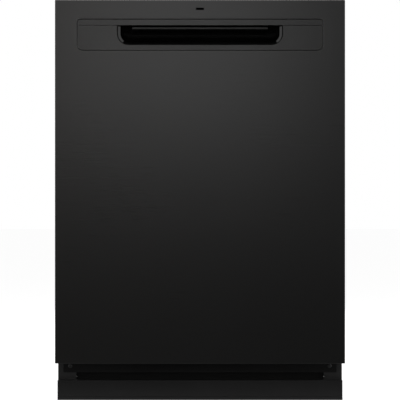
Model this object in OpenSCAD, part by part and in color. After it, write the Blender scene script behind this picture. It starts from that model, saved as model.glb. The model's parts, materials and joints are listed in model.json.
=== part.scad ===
// Built-in dishwasher with a top control door, shown closed and with its feet run in.
// Millimetres. X to the right, Y to the back, Z up. The origin is on the floor under the middle.

/* [Cabinet] */
// Width over the door
overall_w = 603; // [597:1:612]
// Depth from the door's face to the back of the frame
overall_d = 610; // [598:1:640]
// Height from the floor to the top of the door
overall_h = 840; // [832:1:870]
// How far the base frame stays inside the door's width, each side
frame_inset = 0.5; // [0.3:0.1:1.5]
// Thickness of the frame's folded steel
frame_t = 1.4; // [1:0.1:2]
// Height of the base frame's underside
frame_z = 12.3; // [11:0.1:16]
// Space kept behind the tub for pipes and the rear frame
rear_space = 38; // [30:1:50]
// Clearance of a piece from what it sits on
clear_gap = 0.3; // [0.25:0.05:0.4]

/* [Door] */
// Height of the door's lower edge
door_bottom = 84; // [80:1:88]
// Door thickness, from its face to the liner's rim
door_t = 50; // [48:1:54]
// Thickness of the door's outer sheet
sheet_t = 1.2; // [0.9:0.1:1.5]
// Outside radius of the sheet's long edges
door_edge_r = 3; // [2:0.5:5]
// Depth of the sheet's side flanges
door_flange = 24; // [20:1:26]
// Hinge axis behind the door's face
hinge_inset = 22; // [20:1:24]
// Hinge axis above the floor
hinge_z = 140; // [137:1:143]
// Radius of the hinge studs
hinge_r = 5; // [4:0.5:6]
// Space between the liner's rim and the tub's lip
seal_space = 3; // [2.6:0.1:4]
// Thickness of the seal's lip inside the tub
seal_t = 2; // [1.2:0.1:2.2]
// How far the liner's middle stands in towards the tub
liner_rise = 5; // [3:0.5:7]

/* [Handle] */
// Width of the handle insert in the door's face
insert_w = 511; // [480:1:530]
// Height of the handle insert
insert_h = 64.5; // [62:0.5:68]
// Insert's top edge below the top of the door
insert_drop = 40.5; // [38:0.5:44]
// Height of the grip band along the insert's top
grip_band = 12.5; // [10:0.5:14]
// Width of the hand pocket
pocket_w = 345; // [300:1:380]
// Strip of insert left under the pocket
pocket_sill = 11.4; // [9:0.1:14]
// Radius of the pocket's lower corners
pocket_r = 26; // [18:1:30]
// Depth of the pocket's top behind the door's face
pocket_depth = 41; // [38:0.5:43]
// Lean of the pocket's back away from the fingers, in degrees
pocket_lean = 12; // [8:0.5:14]
// Width of the finger rail in the pocket
rail_w = 282; // [240:1:300]

/* [Console] */
// Radius of a key
key_r = 5.5; // [4.5:0.5:7]
// Distance between keys
key_pitch = 34; // [24:1:44]
// How far a key goes down
key_travel = 1; // [0.8:0.1:1.4]

/* [Tub] */
// Thickness of the tub's sheet
tub_t = 1.2; // [0.8:0.1:1.6]
// Space between the tub's side and the frame's outside
tub_side_space = 16; // [15.5:0.1:18]
// Height of the wheel ledge in the tub
ledge_z = 170; // [169:0.5:173]
// Depth of the trough below the ledge
trough_depth = 18.8; // [17:0.1:20]
// Width of the wheel ledge on each side
ledge_w = 34.3; // [32.3:0.1:38.3]
// Radius of the tub's upright and top corners
tub_r = 25; // [18:1:35]
// Thickness of the sound blanket
blanket_t = 6; // [4:0.5:6.3]

/* [Racks] */
// Radius of a basket wire
wire_r = 2.5; // [2:0.1:2.8]
// Radius of a plate tine
tine_r = 2; // [1.6:0.1:2.4]
// Space between the lower basket and the tub's side
lower_side_space = 36.3; // [35.3:0.1:44.3]
// Height of the lower basket's floor wires
lower_floor = 195; // [194:0.5:199]
// Height of the lower basket's walls
lower_wall = 145; // [110:1:160]
// Space between the upper basket and the tub's side
upper_side_space = 32.3; // [30.3:0.1:44.3]
// Height of the upper basket's floor wires
upper_floor = 512; // [508:1:530]
// Height of the upper basket's walls
upper_wall = 128; // [100:1:140]
// Radius of a rack wheel
wheel_r = 18; // [16:0.5:19]
// Distance between plate tines
tine_pitch = 34; // [28:1:44]

/* [Spray] */
// Tip radius of the lower arm
lower_arm_r = 224; // [180:1:228]
// Tip radius of the middle arm
middle_arm_r = 205; // [160:1:215]
// Tip radius of the top arm
top_arm_r = 120; // [90:1:150]
// Radius of the sump's cup
sump_r = 96; // [92:1:104]
// Radius of the turning filter
filter_r = 30; // [26:1:32]

/* [Feet] */
// Radius of a foot's pad
foot_r = 17; // [14:1:20]
// Radius of a foot's screw
foot_screw_r = 5; // [4:0.5:6]
// How far a foot runs out
foot_travel = 30; // [20:1:40]

/* [Hidden] */
$fn = 48;

// Running clearance of a shaft in its hole, radius
run_gap = 0.05;
// Clearance between pieces that move past each other
pass_gap = 1;

half_w = overall_w / 2;
y_front = -overall_d / 2;
y_back = overall_d / 2;
frame_half = half_w - frame_inset;

// Door
liner_y = y_front + door_t;
hinge_y = y_front + hinge_inset;
insert_z1 = overall_h - insert_drop;
insert_z0 = insert_z1 - insert_h;
insert_half = insert_w / 2;
grip_z0 = insert_z1 - grip_band;
pocket_z0 = insert_z0 + pocket_sill;
pocket_half = pocket_w / 2;
pocket_back = y_front + pocket_depth;
insert_back = y_front + 2.8;
console_z0 = overall_h - 17.7;
console_top = overall_h - 1.8;
liner_half = half_w - 11;
liner_z0 = hinge_z - hinge_inset;
liner_z1 = console_z0 - clear_gap;
liner_t = 1.2;
field_y = liner_y + liner_rise;
arm_x0 = half_w - 8.5;
arm_t = 2.5;
ear_x0 = arm_x0 + arm_t + 1.7;

// Tub
tub_half = half_w - tub_side_space - tub_t;
trough_half = tub_half - ledge_w;
tub_y0 = liner_y + seal_space;
tub_y1 = y_back - rear_space;
tub_top = console_z0 - 11.5;
field_half = trough_half - 4;
trough_z = ledge_z - trough_depth;
trough_y0 = hinge_y + 51;
trough_y1 = tub_y1 - 16;
flange = 6.5;
spray_y = (trough_y0 + trough_y1) / 2;
riser_y = tub_y1 - tub_t - clear_gap;

// Frame
frame_y = y_front + 101;
rail_top = ledge_z - tub_t - clear_gap;
rail_web = frame_half - frame_t;
rail_lip = 38;
cross_z0 = frame_z + frame_t + clear_gap;
cross_h = 31;

// Racks
weld = 1.6;
lower_half = tub_half - lower_side_space;
upper_half = tub_half - upper_side_space;
upper_z1 = upper_floor + upper_wall;
lower_z1 = lower_floor + lower_wall;
rack_y0 = field_y + 27;
lower_y1 = trough_y1 - 2;
upper_y1 = riser_y - 48;
axle_z = ledge_z + wheel_r + clear_gap;
axle_r = 4;
wheel_x0 = trough_half + 7;
wheel_w = 14;
wheel_front_y = rack_y0 + 74;
wheel_rear_y = lower_y1 - 60;
guide_z = upper_floor + 52;
guide_h = 26;
shelf_z = upper_z1 - 44;
fold_x = lower_half - 172;
middle_z = upper_floor - 38;
top_arm_z = tub_top - 40;
lower_arm_z = ledge_z + 3.5;

// Outlines as lists of points
function arc(cx, cy, r, a0, a1, n = 8) =
    [for (i = [0:n]) let (a = a0 + (a1 - a0) * i / n) [cx + r * cos(a), cy + r * sin(a)]];
function rounded(x0, y0, x1, y1, r0, r1) = concat(
    arc(x1 - r0, y0 + r0, r0, -90, 0), arc(x1 - r1, y1 - r1, r1, 0, 90),
    arc(x0 + r1, y1 - r1, r1, 90, 180), arc(x0 + r0, y0 + r0, r0, 180, 270));
function rect(x0, y0, x1, y1) = [[x0, y0], [x1, y0], [x1, y1], [x0, y1]];
function spread(a, b, n) = [for (i = [0:n - 1]) a + (b - a) * i / (n - 1)];

// Solids from an outline, between two planes
module slab_xy(z0, z1, pts) translate([0, 0, z0]) linear_extrude(z1 - z0) polygon(pts);
module slab_xz(y0, y1, pts) translate([0, y1, 0]) rotate([90, 0, 0]) linear_extrude(y1 - y0) polygon(pts);
module slab_yz(x0, x1, pts) translate([x0, 0, 0]) rotate([90, 0, 90]) linear_extrude(x1 - x0) polygon(pts);
module block(x0, x1, y0, y1, z0, z1) translate([x0, y0, z0]) cube([x1 - x0, y1 - y0, z1 - z0]);
module rod_x(x0, x1, y, z, r) translate([x0, y, z]) rotate([0, 90, 0]) cylinder(h = x1 - x0, r = r);
module rod_y(y0, y1, x, z, r) translate([x, y0, z]) rotate([-90, 0, 0]) cylinder(h = y1 - y0, r = r);
module rod_z(z0, z1, x, y, r) translate([x, y, z0]) cylinder(h = z1 - z0, r = r);
// A round housing along x, as a stack of [length, radius] steps that lap by 2.
function run(steps, i) = i < 0 ? 0 : run(steps, i - 1) + steps[i][0];
module stack_x(x0, y, z, steps) for (i = [0:len(steps) - 1])
    rod_x(x0 + run(steps, i - 1) - (i > 0 ? 2 : 0), x0 + run(steps, i), y, z, steps[i][1]);
module both_sides() {
    children();
    mirror([1, 0, 0]) children();
}

// ---------------------------------------------------------------- cabinet

function tub_plan(y0, grow) = concat(
    [[-tub_half - grow, y0], [tub_half + grow, y0]],
    arc(tub_half - tub_r, tub_y1 - tub_t - tub_r, tub_r + grow, 0, 90),
    arc(-tub_half + tub_r, tub_y1 - tub_t - tub_r, tub_r + grow, 90, 180));

module tub_volume(grow) {
    intersection() {
        slab_xz(tub_y0, tub_y1 - tub_t + grow,
            rounded(-tub_half - grow, ledge_z - grow, tub_half + grow, tub_top - tub_t + grow, 8, tub_r + grow));
        slab_xy(0, overall_h, tub_plan(tub_y0 - 1, grow));
    }
    slab_xy(trough_z - grow, ledge_z + 1, rounded(-trough_half - grow, trough_y0 - grow,
        trough_half + grow, trough_y1 + grow, tub_r, tub_r));
}

module tub() {
    color("silver") difference() {
        union() {
            tub_volume(tub_t);
            intersection() {
                slab_xz(tub_y0, tub_y0 + tub_t, rounded(-tub_half - tub_t - flange, ledge_z - flange,
                    tub_half + tub_t + flange, tub_top + flange, 8, tub_r + flange));
                block(-half_w, half_w, tub_y0 - 1, tub_y1, ledge_z + 5, overall_h);
            }
        }
        translate([0, -0.01, 0]) tub_volume(0);
        rod_z(trough_z - 5, trough_z + 5, 0, spray_y, sump_r - 6);
        rod_z(trough_z - 5, trough_z + 5, hose_x, hose_y, 9);
        rod_z(trough_z - 5, trough_z + 5, float_x, float_y, 6.5);
        for (x = [-heater_gap, heater_gap]) rod_z(trough_z - 5, trough_z + 5, x, heater_y, 6.5);
    }
}

module gasket_ring(y0, y1, out, inner) {
    difference() {
        slab_xz(y0, y1, rounded(-tub_half - out, ledge_z - 40, tub_half + out, tub_top - tub_t + out,
            8, tub_r + out));
        slab_xz(y0 - 1, y1 + 1, rounded(-tub_half + inner, ledge_z - 60, tub_half - inner,
            tub_top - tub_t - inner, 8, tub_r - inner));
        block(-half_w, half_w, y0 - 1, y1 + 1, 0, ledge_z + 6);
    }
}

module tub_gasket() {
    color("dimgray") {
        gasket_ring(tub_y0 - seal_space + clear_gap, tub_y0 - clear_gap, flange, seal_t);
        gasket_ring(tub_y0 - clear_gap - 0.5, tub_y0 + 12, -clear_gap, seal_t);
    }
}

module blanket_volume(y0, grow) {
    intersection() {
        slab_xz(y0, tub_y1 - tub_t + grow, rounded(-tub_half - grow, ledge_z - 40, tub_half + grow,
            tub_top - tub_t + grow, 8, tub_r + grow));
        slab_xy(0, overall_h, tub_plan(y0 - 1, grow));
    }
}

module insulation_blanket() {
    inner = tub_t + clear_gap;
    outer = inner + blanket_t;
    color("#3c3a36") difference() {
        blanket_volume(tub_y0 + 6, outer);
        blanket_volume(tub_y0, inner);
        block(-half_w, half_w, y_front, y_back, 0, ledge_z + 6);
        block(-18, 18, y_front, tub_y0 + 52, tub_top - 2, overall_h);
        both_sides() block(bracket_x - 18, bracket_x + 18, y_front, tub_y0 + 55, tub_top - 2, overall_h);
    }
}

// One side of the base: a folded channel with an ear that carries the door's hinge stud.
module base_rail() {
    top_lip = 28;
    y0 = frame_y + sheet_t + clear_gap;
    color("#2a2a2a") {
        difference() {
            union() {
                block(rail_web, frame_half, y0, y_back, frame_z, rail_top);
                block(frame_half - rail_lip, frame_half, y0, y_back, frame_z, frame_z + frame_t);
                block(frame_half - top_lip, frame_half, y0, y_back, rail_top - frame_t, rail_top);
                block(frame_half - rail_lip, frame_half, y0, y0 + frame_t, frame_z, rail_top);
            }
            for (y = foot_ys) rod_z(frame_z - 1, frame_z + 20, foot_x, y, foot_screw_r + run_gap);
            rod_y(frame_y, frame_y + 5, screw_x, screw_z, screw_hole_r);
            block(spring_x - 8, rail_web, frame_y, frame_y + 5, spring_z1 + 22, spring_z0 + 6);
            for (y = spread(-90, 190, 4)) slab_yz(rail_web - 1, frame_half + 1, rounded(y - 26, 66, y + 26, 118, 12, 12));
        }
        // The foot nuts
        for (y = foot_ys) difference() {
            translate([foot_x, y, frame_z + frame_t - 0.2]) cylinder(h = 9, r = 10, $fn = 6);
            rod_z(frame_z - 1, frame_z + 20, foot_x, y, foot_screw_r + run_gap);
        }
        // The hinge ear, its stud and the stud's head
        slab_yz(ear_x0, rail_web + 0.2, concat(
            [[frame_y + 30, hinge_z + 18], [frame_y + 30, hinge_z - 4]],
            arc(hinge_y, hinge_z, 12, 270, 90)));
        rod_x(arm_x0 - 1, ear_x0 + 0.5, hinge_y, hinge_z, hinge_r);
        rod_x(ear_x0 - 1.4, ear_x0 + 0.5, hinge_y, hinge_z, hinge_r + 3);
        rod_x(arm_x0 - 1.9, arm_x0 - clear_gap, hinge_y, hinge_z, hinge_r + 2);
        // The post that the spring hooks on
        rod_x(spring_x - 5, rail_web + 0.5, spring_y1, spring_z1, eye_r - 1 - clear_gap);
        rod_x(spring_x - 6, spring_x - 4.5, spring_y1, spring_z1, 5);
    }
}
module base_rail_right() base_rail();
module base_rail_left() mirror([1, 0, 0]) base_rail();

module base_cross_rails() {
    color("#2a2a2a") for (y = [cross_y0, cross_y1])
        slab_yz_channel(y);
}
module slab_yz_channel(y) {
    slab_yz(-rail_web + clear_gap, rail_web - clear_gap, [
        [y, cross_z0], [y + cross_w, cross_z0], [y + cross_w, cross_z0 + frame_t], [y + frame_t, cross_z0 + frame_t],
        [y + frame_t, cross_z0 + cross_h - frame_t], [y + cross_w, cross_z0 + cross_h - frame_t],
        [y + cross_w, cross_z0 + cross_h], [y, cross_z0 + cross_h]]);
}

// The black panel under the door, with a folded top and bottom. A skirt goes down behind the toe kick.
module access_panel() {
    z0 = access_z0;
    z1 = hinge_z - 28;
    back = frame_y + 16;
    half = frame_half - 11.4;
    fold_half = frame_half - rail_lip - pass_gap;
    color("#1a1a1a") {
        difference() {
            block(-half, half, frame_y, back, z0, z1);
            block(-half - 1, half + 1, frame_y + sheet_t, back + 1, z0 + sheet_t, z1 - sheet_t);
            both_sides() {
                rod_y(frame_y - 1, frame_y + 5, screw_x, screw_z, screw_hole_r);
                block(fold_half, half + 1, frame_y + sheet_t, back + 1, z0 - 1, z1 + 1);
            }
        }
        block(-fold_half, fold_half, back - sheet_t, back, kick_z0 + 18, z0 + sheet_t / 2);
    }
}

// The toe kick, a pan with a hem along its foot, whose side tabs lap inside the rails.
module toe_kick() {
    y0 = frame_y - 19;
    z0 = kick_z0;
    z1 = kick_z1;
    hem = 7;
    color("#202020") {
        difference() {
            union() {
                block(-frame_half, frame_half, y0, y0 + 12, z0, z1);
                block(-frame_half, frame_half, y0 - sheet_t, y0 + 1, z0, z0 + hem);
            }
            block(-frame_half - 1, frame_half + 1, y0 + sheet_t, y0 + 20, z0 - 1, z1 - sheet_t);
        }
        both_sides() {
            block(frame_half - frame_t, frame_half, y0 + 0.5, frame_y + 1.2, z0, z1);
            block(frame_half - 34, frame_half - 0.2, frame_y, frame_y + 1.2, frame_z + 2, z1);
        }
    }
}

// A close-wound spring each side, from the hinge arm's tail to the rail's post.
module door_springs() {
    coils = 26;
    dy = spring_y1 - spring_y0;
    dz = spring_z1 - spring_z0;
    len = sqrt(dy * dy + dz * dz);
    hook = 26;
    pitch = (len - 2 * hook) / coils;
    color("gray") both_sides() translate([spring_x, spring_y0, spring_z0])
        rotate([-90 + atan2(dz, dy), 0, 0]) {
            translate([0, 0, hook]) rotate_extrude($fn = 24) polygon(concat([[0, 0]],
                [for (i = [0:coils - 1]) each [[3.4, i * pitch], [4.3, (i + 0.25) * pitch], [4.3, (i + 0.75) * pitch]]],
                [[3.4, coils * pitch], [0, coils * pitch]]));
            translate([0, 0, 2 * eye_r - 0.3]) cylinder(h = hook - 2 * eye_r + 1, r = 1);
            translate([0, 0, eye_r]) rotate([90, 0, 0]) rotate_extrude() translate([eye_r, 0]) circle(1);
            translate([0, 0, len - hook - 1]) cylinder(h = hook - eye_r + 1.3, r = 1);
            translate([0, 0, len]) rotate([0, 90, 0]) rotate_extrude() translate([eye_r, 0]) circle(1);
        }
}

// Tabs on the tub's top that the worktop is screwed to.
module mounting_brackets() {
    z0 = tub_top + clear_gap;
    z1 = console_z0 + 12;
    y0 = tub_y0 + 1;
    color("silver") both_sides() difference() {
        union() {
            block(bracket_x - 15, bracket_x + 15, y0 + 24, y0 + 50, z0, z0 + 1.5);
            block(bracket_x - 15, bracket_x + 15, y0 + 24, y0 + 25.5, z0, z1);
            block(bracket_x - 15, bracket_x + 15, y0, y0 + 25.5, z1 - 1.5, z1);
        }
        rod_z(z1 - 3, z1 + 1, bracket_x, y0 + 12, 2.75);
        rod_z(z0 - 1, z0 + 3, bracket_x, y0 + 38, 2.2);
    }
}

module latch_strike() {
    z0 = tub_top + clear_gap;
    z1 = console_z0 + 6;
    color("silver") difference() {
        union() {
            block(-14, 14, tub_y0 + 14, tub_y0 + 46, z0, z0 + 1.5);
            block(-10, 10, tub_y0 + 14, tub_y0 + 16, z0, z1);
            block(-10, 10, tub_y0 - 15, tub_y0 + 16, z1 - 2, z1);
        }
        block(-6, 6, tub_y0 - 11, tub_y0 - 5, z1 - 3, z1 + 1);
        both_sides() rod_z(z0 - 1, z0 + 3, 8, tub_y0 + 36, 2.2);
    }
}

// ---------------------------------------------------------------- water parts

post_r = 10;
sump_z = trough_z - tub_t - clear_gap;
sump_depth = 52;
wash_y = spray_y + 20;
wash_z = sump_z - 42;
drain_y = spray_y - 20;
drain_pump_z = sump_z - 30;
float_x = -trough_half + 60;
float_y = trough_y0 + 69.5;
heater_r = 178;
heater_gap = 24;
heater_y = spray_y + sqrt(heater_r * heater_r - heater_gap * heater_gap);
heater_z = trough_z + 9;
hose_x = -frame_half + 86;
hose_y = spray_y + 140;
sump_wall = 2.5;
filter_off = (sump_r - sump_wall - filter_r - 4.1) / sqrt(2);
filter_x = filter_off;
filter_y = spray_y - filter_off;
filter_top = trough_z + 1.8;
eye_r = 4.5;
bracket_x = frame_half - 111;
foot_x = frame_half - 22;
foot_ys = [frame_y + 28, y_back - 45];
screw_x = frame_half - 26;
screw_hole_r = 2.2;
access_z0 = 58.4;
screw_z = access_z0 + 13.6;
kick_z0 = 1.4;
kick_z1 = 43.2;
cross_w = 30;
cross_y0 = frame_y + 54;
cross_y1 = y_back - 92;
spring_x = arm_x0 + 1.2;
spring_y0 = hinge_y + 35;
spring_z0 = hinge_z - 10;
spring_y1 = -60;
spring_z1 = 75;

module sump() {
    wall = sump_wall;
    z0 = sump_z - sump_depth;
    color("#55585c") {
        difference() {
            union() {
                rod_z(z0, sump_z, 0, spray_y, sump_r);
                rod_z(sump_z - 4, sump_z, 0, spray_y, sump_r + 8);
                rod_z(z0 - 12, z0 + 1, 0, spray_y, sump_r - 34);
                rod_x(sump_r - 20, sump_r, wash_y, wash_z, 19);
                rod_x(-sump_r, -sump_r + 16, drain_y, drain_pump_z, 15);
            }
            rod_z(z0 + wall, sump_z + 1, 0, spray_y, sump_r - wall);
            rod_z(z0 - 12 + wall, z0 + wall + 1, 0, spray_y, sump_r - 34 - wall);
        }
        rod_z(z0 - 12 + wall - 0.5, lower_arm_z + 12, 0, spray_y, post_r);
        rod_z(z0 - 12 + wall - 0.5, filter_top - 4, 0, spray_y, post_r + 5);
    }
}

module filter_plate() {
    z0 = trough_z + clear_gap;
    color("gainsboro") difference() {
        union() {
            rod_z(z0, z0 + 1.5, 0, spray_y, sump_r + 12);
            rod_z(z0 - 0.1, z0 + 4, 0, spray_y, post_r + 9);
        }
        rod_z(z0 - 1, z0 + 5, 0, spray_y, post_r + clear_gap + 0.2);
        rod_z(z0 - 1, z0 + 5, filter_x, filter_y, filter_r + 0.6);
        for (k = [0:2]) for (i = [0:13 + 3 * k])
            let (a = 360 * i / (14 + 3 * k), r = 44 + 20 * k, x = r * cos(a), y = spray_y + r * sin(a))
            if (norm([x - filter_x, y - filter_y]) > filter_r + 9) rod_z(z0 - 1, z0 + 5, x, y, 4);
    }
}

// A cup of mesh with a crossbar handle, turned a quarter to release it.
module fine_filter() {
    z0 = sump_z - sump_depth + 4;
    color("dimgray") {
        difference() {
            rod_z(z0, filter_top + 4, filter_x, filter_y, filter_r);
            rod_z(z0 + 2, filter_top + 6, filter_x, filter_y, filter_r - 2);
            for (a = [0:30:330]) translate([filter_x, filter_y, 0]) rotate([0, 0, a])
                block(filter_r - 5, filter_r + 3, -5, 5, z0 + 6, filter_top - 12);
        }
        difference() {
            rod_z(filter_top, filter_top + 4, filter_x, filter_y, filter_r - 1.5);
            rod_z(filter_top - 1, filter_top + 6, filter_x, filter_y, filter_r - 9);
        }
        block(filter_x - filter_r + 5, filter_x + filter_r - 5, filter_y - 3.5, filter_y + 3.5, filter_top, filter_top + 13);
    }
}

// The wash pump: its neck, volute, ribbed motor, end cap and bearing boss.
module wash_pump() {
    x0 = sump_r + clear_gap;
    motor_r = 34;
    color("#3a3f45") {
        stack_x(x0, wash_y, wash_z, [[12, 16], [32, motor_r + 6], [82, motor_r], [6, 26], [10, 9]]);
        for (a = [0:45:315]) translate([0, wash_y, wash_z]) rotate([a, 0, 0])
            block(x0 + 50, x0 + 118, motor_r - 1, motor_r + 2.5, -2, 2);
    }
}

// The drain pump: its neck, volute, motor and end cap, with the port for the drain hose in front.
module drain_pump() {
    color("#4a4f55") {
        mirror([1, 0, 0]) stack_x(sump_r + clear_gap, drain_y, drain_pump_z, [[12, 12], [24, 25], [48, 20], [4, 12]]);
        rod_y(drain_y0 + port_len, drain_y - 8, drain_x, drain_z, drain_r + 3.5);
        rod_y(drain_y0, drain_y0 + port_len + 1, drain_x, drain_z, drain_r);
    }
}
drain_r = 11;
port_len = 27;
drain_x = -sump_r - clear_gap - 23;
drain_y0 = drain_y - 62;
drain_z = drain_pump_z - 8;

// The water valve on the front cross rail, with a screwed stub in front and a barb behind.
valve_y0 = cross_y0 + 2;
valve_z0 = cross_z0 + cross_h + clear_gap;
valve_z = valve_z0 + 24;
stub_r = 13.2;
module inlet_valve() {
    color("#e8e6e0") {
        block(hose_x - 22, hose_x + 22, valve_y0, valve_y0 + 26, valve_z0, valve_z0 + 2);
        block(hose_x - 14, hose_x + 14, valve_y0, valve_y0 + 34, valve_z0, valve_z + 12);
        rod_y(valve_y0 - 18, valve_y0 - 3, hose_x, valve_z, stub_r);
        rod_y(valve_y0 - 4, valve_y0 + 1, hose_x, valve_z, stub_r + 4);
        rod_z(valve_z + 11, valve_z + 34, hose_x, valve_y0 + 17, 12);
        rod_y(valve_y0 + 33, valve_y0 + 52, hose_x, valve_z, hose_bore - run_gap - 0.2);
    }
}
hose_bore = 5;
hose_r = 7.5;

// A moulded hose from the valve's barb to the fitting in the tub's floor.
module inlet_hose() {
    y0 = valve_y0 + 36;
    bend = 22;
    top = trough_z + 6;
    color("#b9b9b4") difference() {
        union() {
            rod_y(y0, hose_y - bend, hose_x, valve_z, hose_r);
            translate([hose_x, hose_y - bend, valve_z + bend]) rotate([90, 0, 90]) rotate([0, 0, -90])
                rotate_extrude(angle = 90) translate([bend, 0]) circle(hose_r);
            rod_z(valve_z + bend, top, hose_x, hose_y, hose_r);
            rod_z(trough_z + clear_gap, top + 2, hose_x, hose_y, 14);
        }
        rod_y(y0 - 1, y0 + 30, hose_x, valve_z, hose_bore);
        rod_z(top - 30, top + 5, hose_x, hose_y, hose_bore);
    }
}

module heater_ring() {
    a = asin(heater_gap / heater_r);
    color("gray") {
        translate([0, spray_y, heater_z]) rotate([0, 0, 90 + a]) rotate_extrude(angle = 360 - 2 * a, $fn = 96)
            translate([heater_r, 0]) circle(4);
        both_sides() {
            rod_z(trough_z - 22, heater_z + 5.5, heater_gap, heater_y, 5.5);
            rod_z(trough_z - tub_t - 6, trough_z - tub_t - clear_gap, heater_gap, heater_y, 10);
        }
        for (a = [20, 160, 270]) translate([heater_r * cos(a), spray_y + heater_r * sin(a), 0])
            rod_z(trough_z + clear_gap, heater_z - 2, 0, 0, 3);
    }
}

// The float: a cap on a stem that rises with the water.
float_travel = 8;
module float_cap() {
    color("#d8d6d0") {
        difference() {
            rod_z(trough_z + 4, trough_z + 26, float_x, float_y, 20);
            rod_z(trough_z + 3, trough_z + 23.5, float_x, float_y, 17.5);
        }
        rod_z(trough_z - 16, trough_z + 24, float_x, float_y, 4);
        rod_z(trough_z + clear_gap, trough_z + 3, float_x, float_y, 9);
    }
}

module junction_box() {
    z0 = cross_z0 + cross_h + clear_gap;
    x0 = junction_x - junction_w / 2;
    x1 = junction_x + junction_w / 2;
    y0 = cross_y0;
    color("#8d8f90") difference() {
        block(x0, x1, y0, y0 + 52, z0, z0 + junction_h);
        block(x0 + 1.5, x1 - 1.5, y0 + 1.5, y0 + 50.5, z0 + 1.5, z0 + junction_h - 1.5);
        rod_y(y0 - 1, y0 + 3, junction_x, junction_z, knockout_r);
    }
}
knockout_r = 11.1;
junction_w = 66;
junction_h = 42;
junction_x = frame_half - 90;
junction_z = cross_z0 + cross_h + clear_gap + junction_h / 2;

// The riser: a flat pipe from the sump up the tub's back wall and along its roof.
module spray_riser() {
    top = tub_top - tub_t - clear_gap;
    w = 15;
    d = 13;
    color("#9aa0a4") difference() {
        union() {
            block(-w, w, spray_y + sump_r - 24, trough_y1 - pass_gap, trough_z + 5, trough_z + 17);
            block(-w, w, trough_y1 - pass_gap - d, trough_y1 - pass_gap, trough_z + 5, ledge_z + 20);
            block(-w, w, trough_y1 - pass_gap - d, riser_y, ledge_z + clear_gap, ledge_z + 20);
            block(-w, w, riser_y - d, riser_y, ledge_z + clear_gap, top);
            block(-w, w, spray_y - 20, riser_y, top - d, top);
            rod_z(top_arm_z - 2, top - 2, 0, spray_y, 8);
            rod_z(top - d - 8, top - 2, 0, spray_y, 14);
            rod_z(top_arm_z - 7, top_arm_z - 1.5, 0, spray_y, 11);
            rod_y(port_y, riser_y - 2, 0, feed_z, 13);
        }
        rod_y(port_y - 1, riser_y - 4, 0, feed_z, 9);
    }
}

// A spray arm: a flat blade with rounded ends, a raised spine and a row of jets.
module spray_blade(z, r, h, hub, bore, jets) {
    translate([0, spray_y, z]) color("#a8abad") difference() {
        union() {
            intersection() {
                cylinder(h = h, r = r, $fn = 96);
                slab_xy(-1, h + 1, [[-r, -13], [-hub, -20], [hub, -20], [r, -13], [r, 13], [hub, 20], [-hub, 20], [-r, 13]]);
            }
            slab_yz(-r + 14, r - 14, concat(arc(0, h - 1, 7, 0, 180), [[-7, 1], [7, 1]]));
            cylinder(h = h + 8, r = hub);
        }
        translate([0, 0, -1]) cylinder(h = 60, r = bore);
        for (s = [-1, 1], i = [1:jets]) translate([s * (hub + (r - hub - 14) * i / jets), s * 5, 4])
            cylinder(h = h + 8, r = 1.6);
    }
}

module lower_spray_arm() spray_blade(lower_arm_z, lower_arm_r, 7, 24, post_r + run_gap, 6);
module top_spray_arm() spray_blade(top_arm_z, top_arm_r, 5, 18, 8 + run_gap, 4);
module middle_spray_arm() spray_blade(middle_z, middle_arm_r, 6, 20, 7 + run_gap, 5);

// ---------------------------------------------------------------- feet

module foot(x, y) {
    color("#6a6a6a") {
        rod_z(0, 4, x, y, foot_r);
        translate([x, y, 3.9]) cylinder(h = frame_z - clear_gap - 3.9, r1 = foot_r, r2 = foot_r - 5);
        rod_z(4, 72, x, y, foot_screw_r);
    }
}
module foot_front_left() foot(-foot_x, foot_ys[0]);
module foot_front_right() foot(foot_x, foot_ys[0]);
module foot_rear_left() foot(-foot_x, foot_ys[1]);
module foot_rear_right() foot(foot_x, foot_ys[1]);

// ---------------------------------------------------------------- door

panel_lip = 12;
notch_half = half_w - 16;
module panel_volume(inset, back) {
    r = door_edge_r;
    intersection() {
        slab_xy(door_bottom + inset, overall_h - inset, concat(
            [[half_w - inset, back], [-half_w + inset, back]],
            arc(-half_w + r, y_front + r, r - inset, 180, 270), arc(half_w - r, y_front + r, r - inset, 270, 360)));
        slab_yz(-half_w, half_w, concat(
            [[back, overall_h - inset]], arc(y_front + r, overall_h - r, r - inset, 90, 180),
            arc(y_front + r, door_bottom + r, r - inset, 180, 270), [[back, door_bottom + inset]]));
    }
}

module door_panel() {
    back = y_front + door_flange;
    color("#3a3a39") difference() {
        panel_volume(0, back);
        panel_volume(sheet_t, back + 1);
        block(-half_w + sheet_t, half_w - sheet_t, y_front + panel_lip, back + 1, overall_h - 6, overall_h + 1);
        both_sides() block(notch_half, half_w - sheet_t, y_front + 4, back + 1, door_bottom - 1, door_bottom + 6);
        slab_xz(y_front - 1, y_front + 3, rounded(-insert_half, insert_z0, insert_half, insert_z1, 12, 6));
        slab_xz(y_front - 1, y_front + 3, status_outline(0));
    }
}
status_w = 16.5;
status_h = 4.2;
status_z = overall_h - 18.7;
function status_outline(grow) = rounded(-status_w / 2 - grow, status_z - status_h / 2 - grow,
    status_w / 2 + grow, status_z + status_h / 2 + grow, 1 + grow, 1 + grow);

module status_lens() {
    color("black") {
        slab_xz(y_front + 0.4, y_front + sheet_t + clear_gap + 0.1, status_outline(-0.15));
        slab_xz(y_front + sheet_t + clear_gap, y_front + sheet_t + 3.5, status_outline(2));
    }
}

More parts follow.
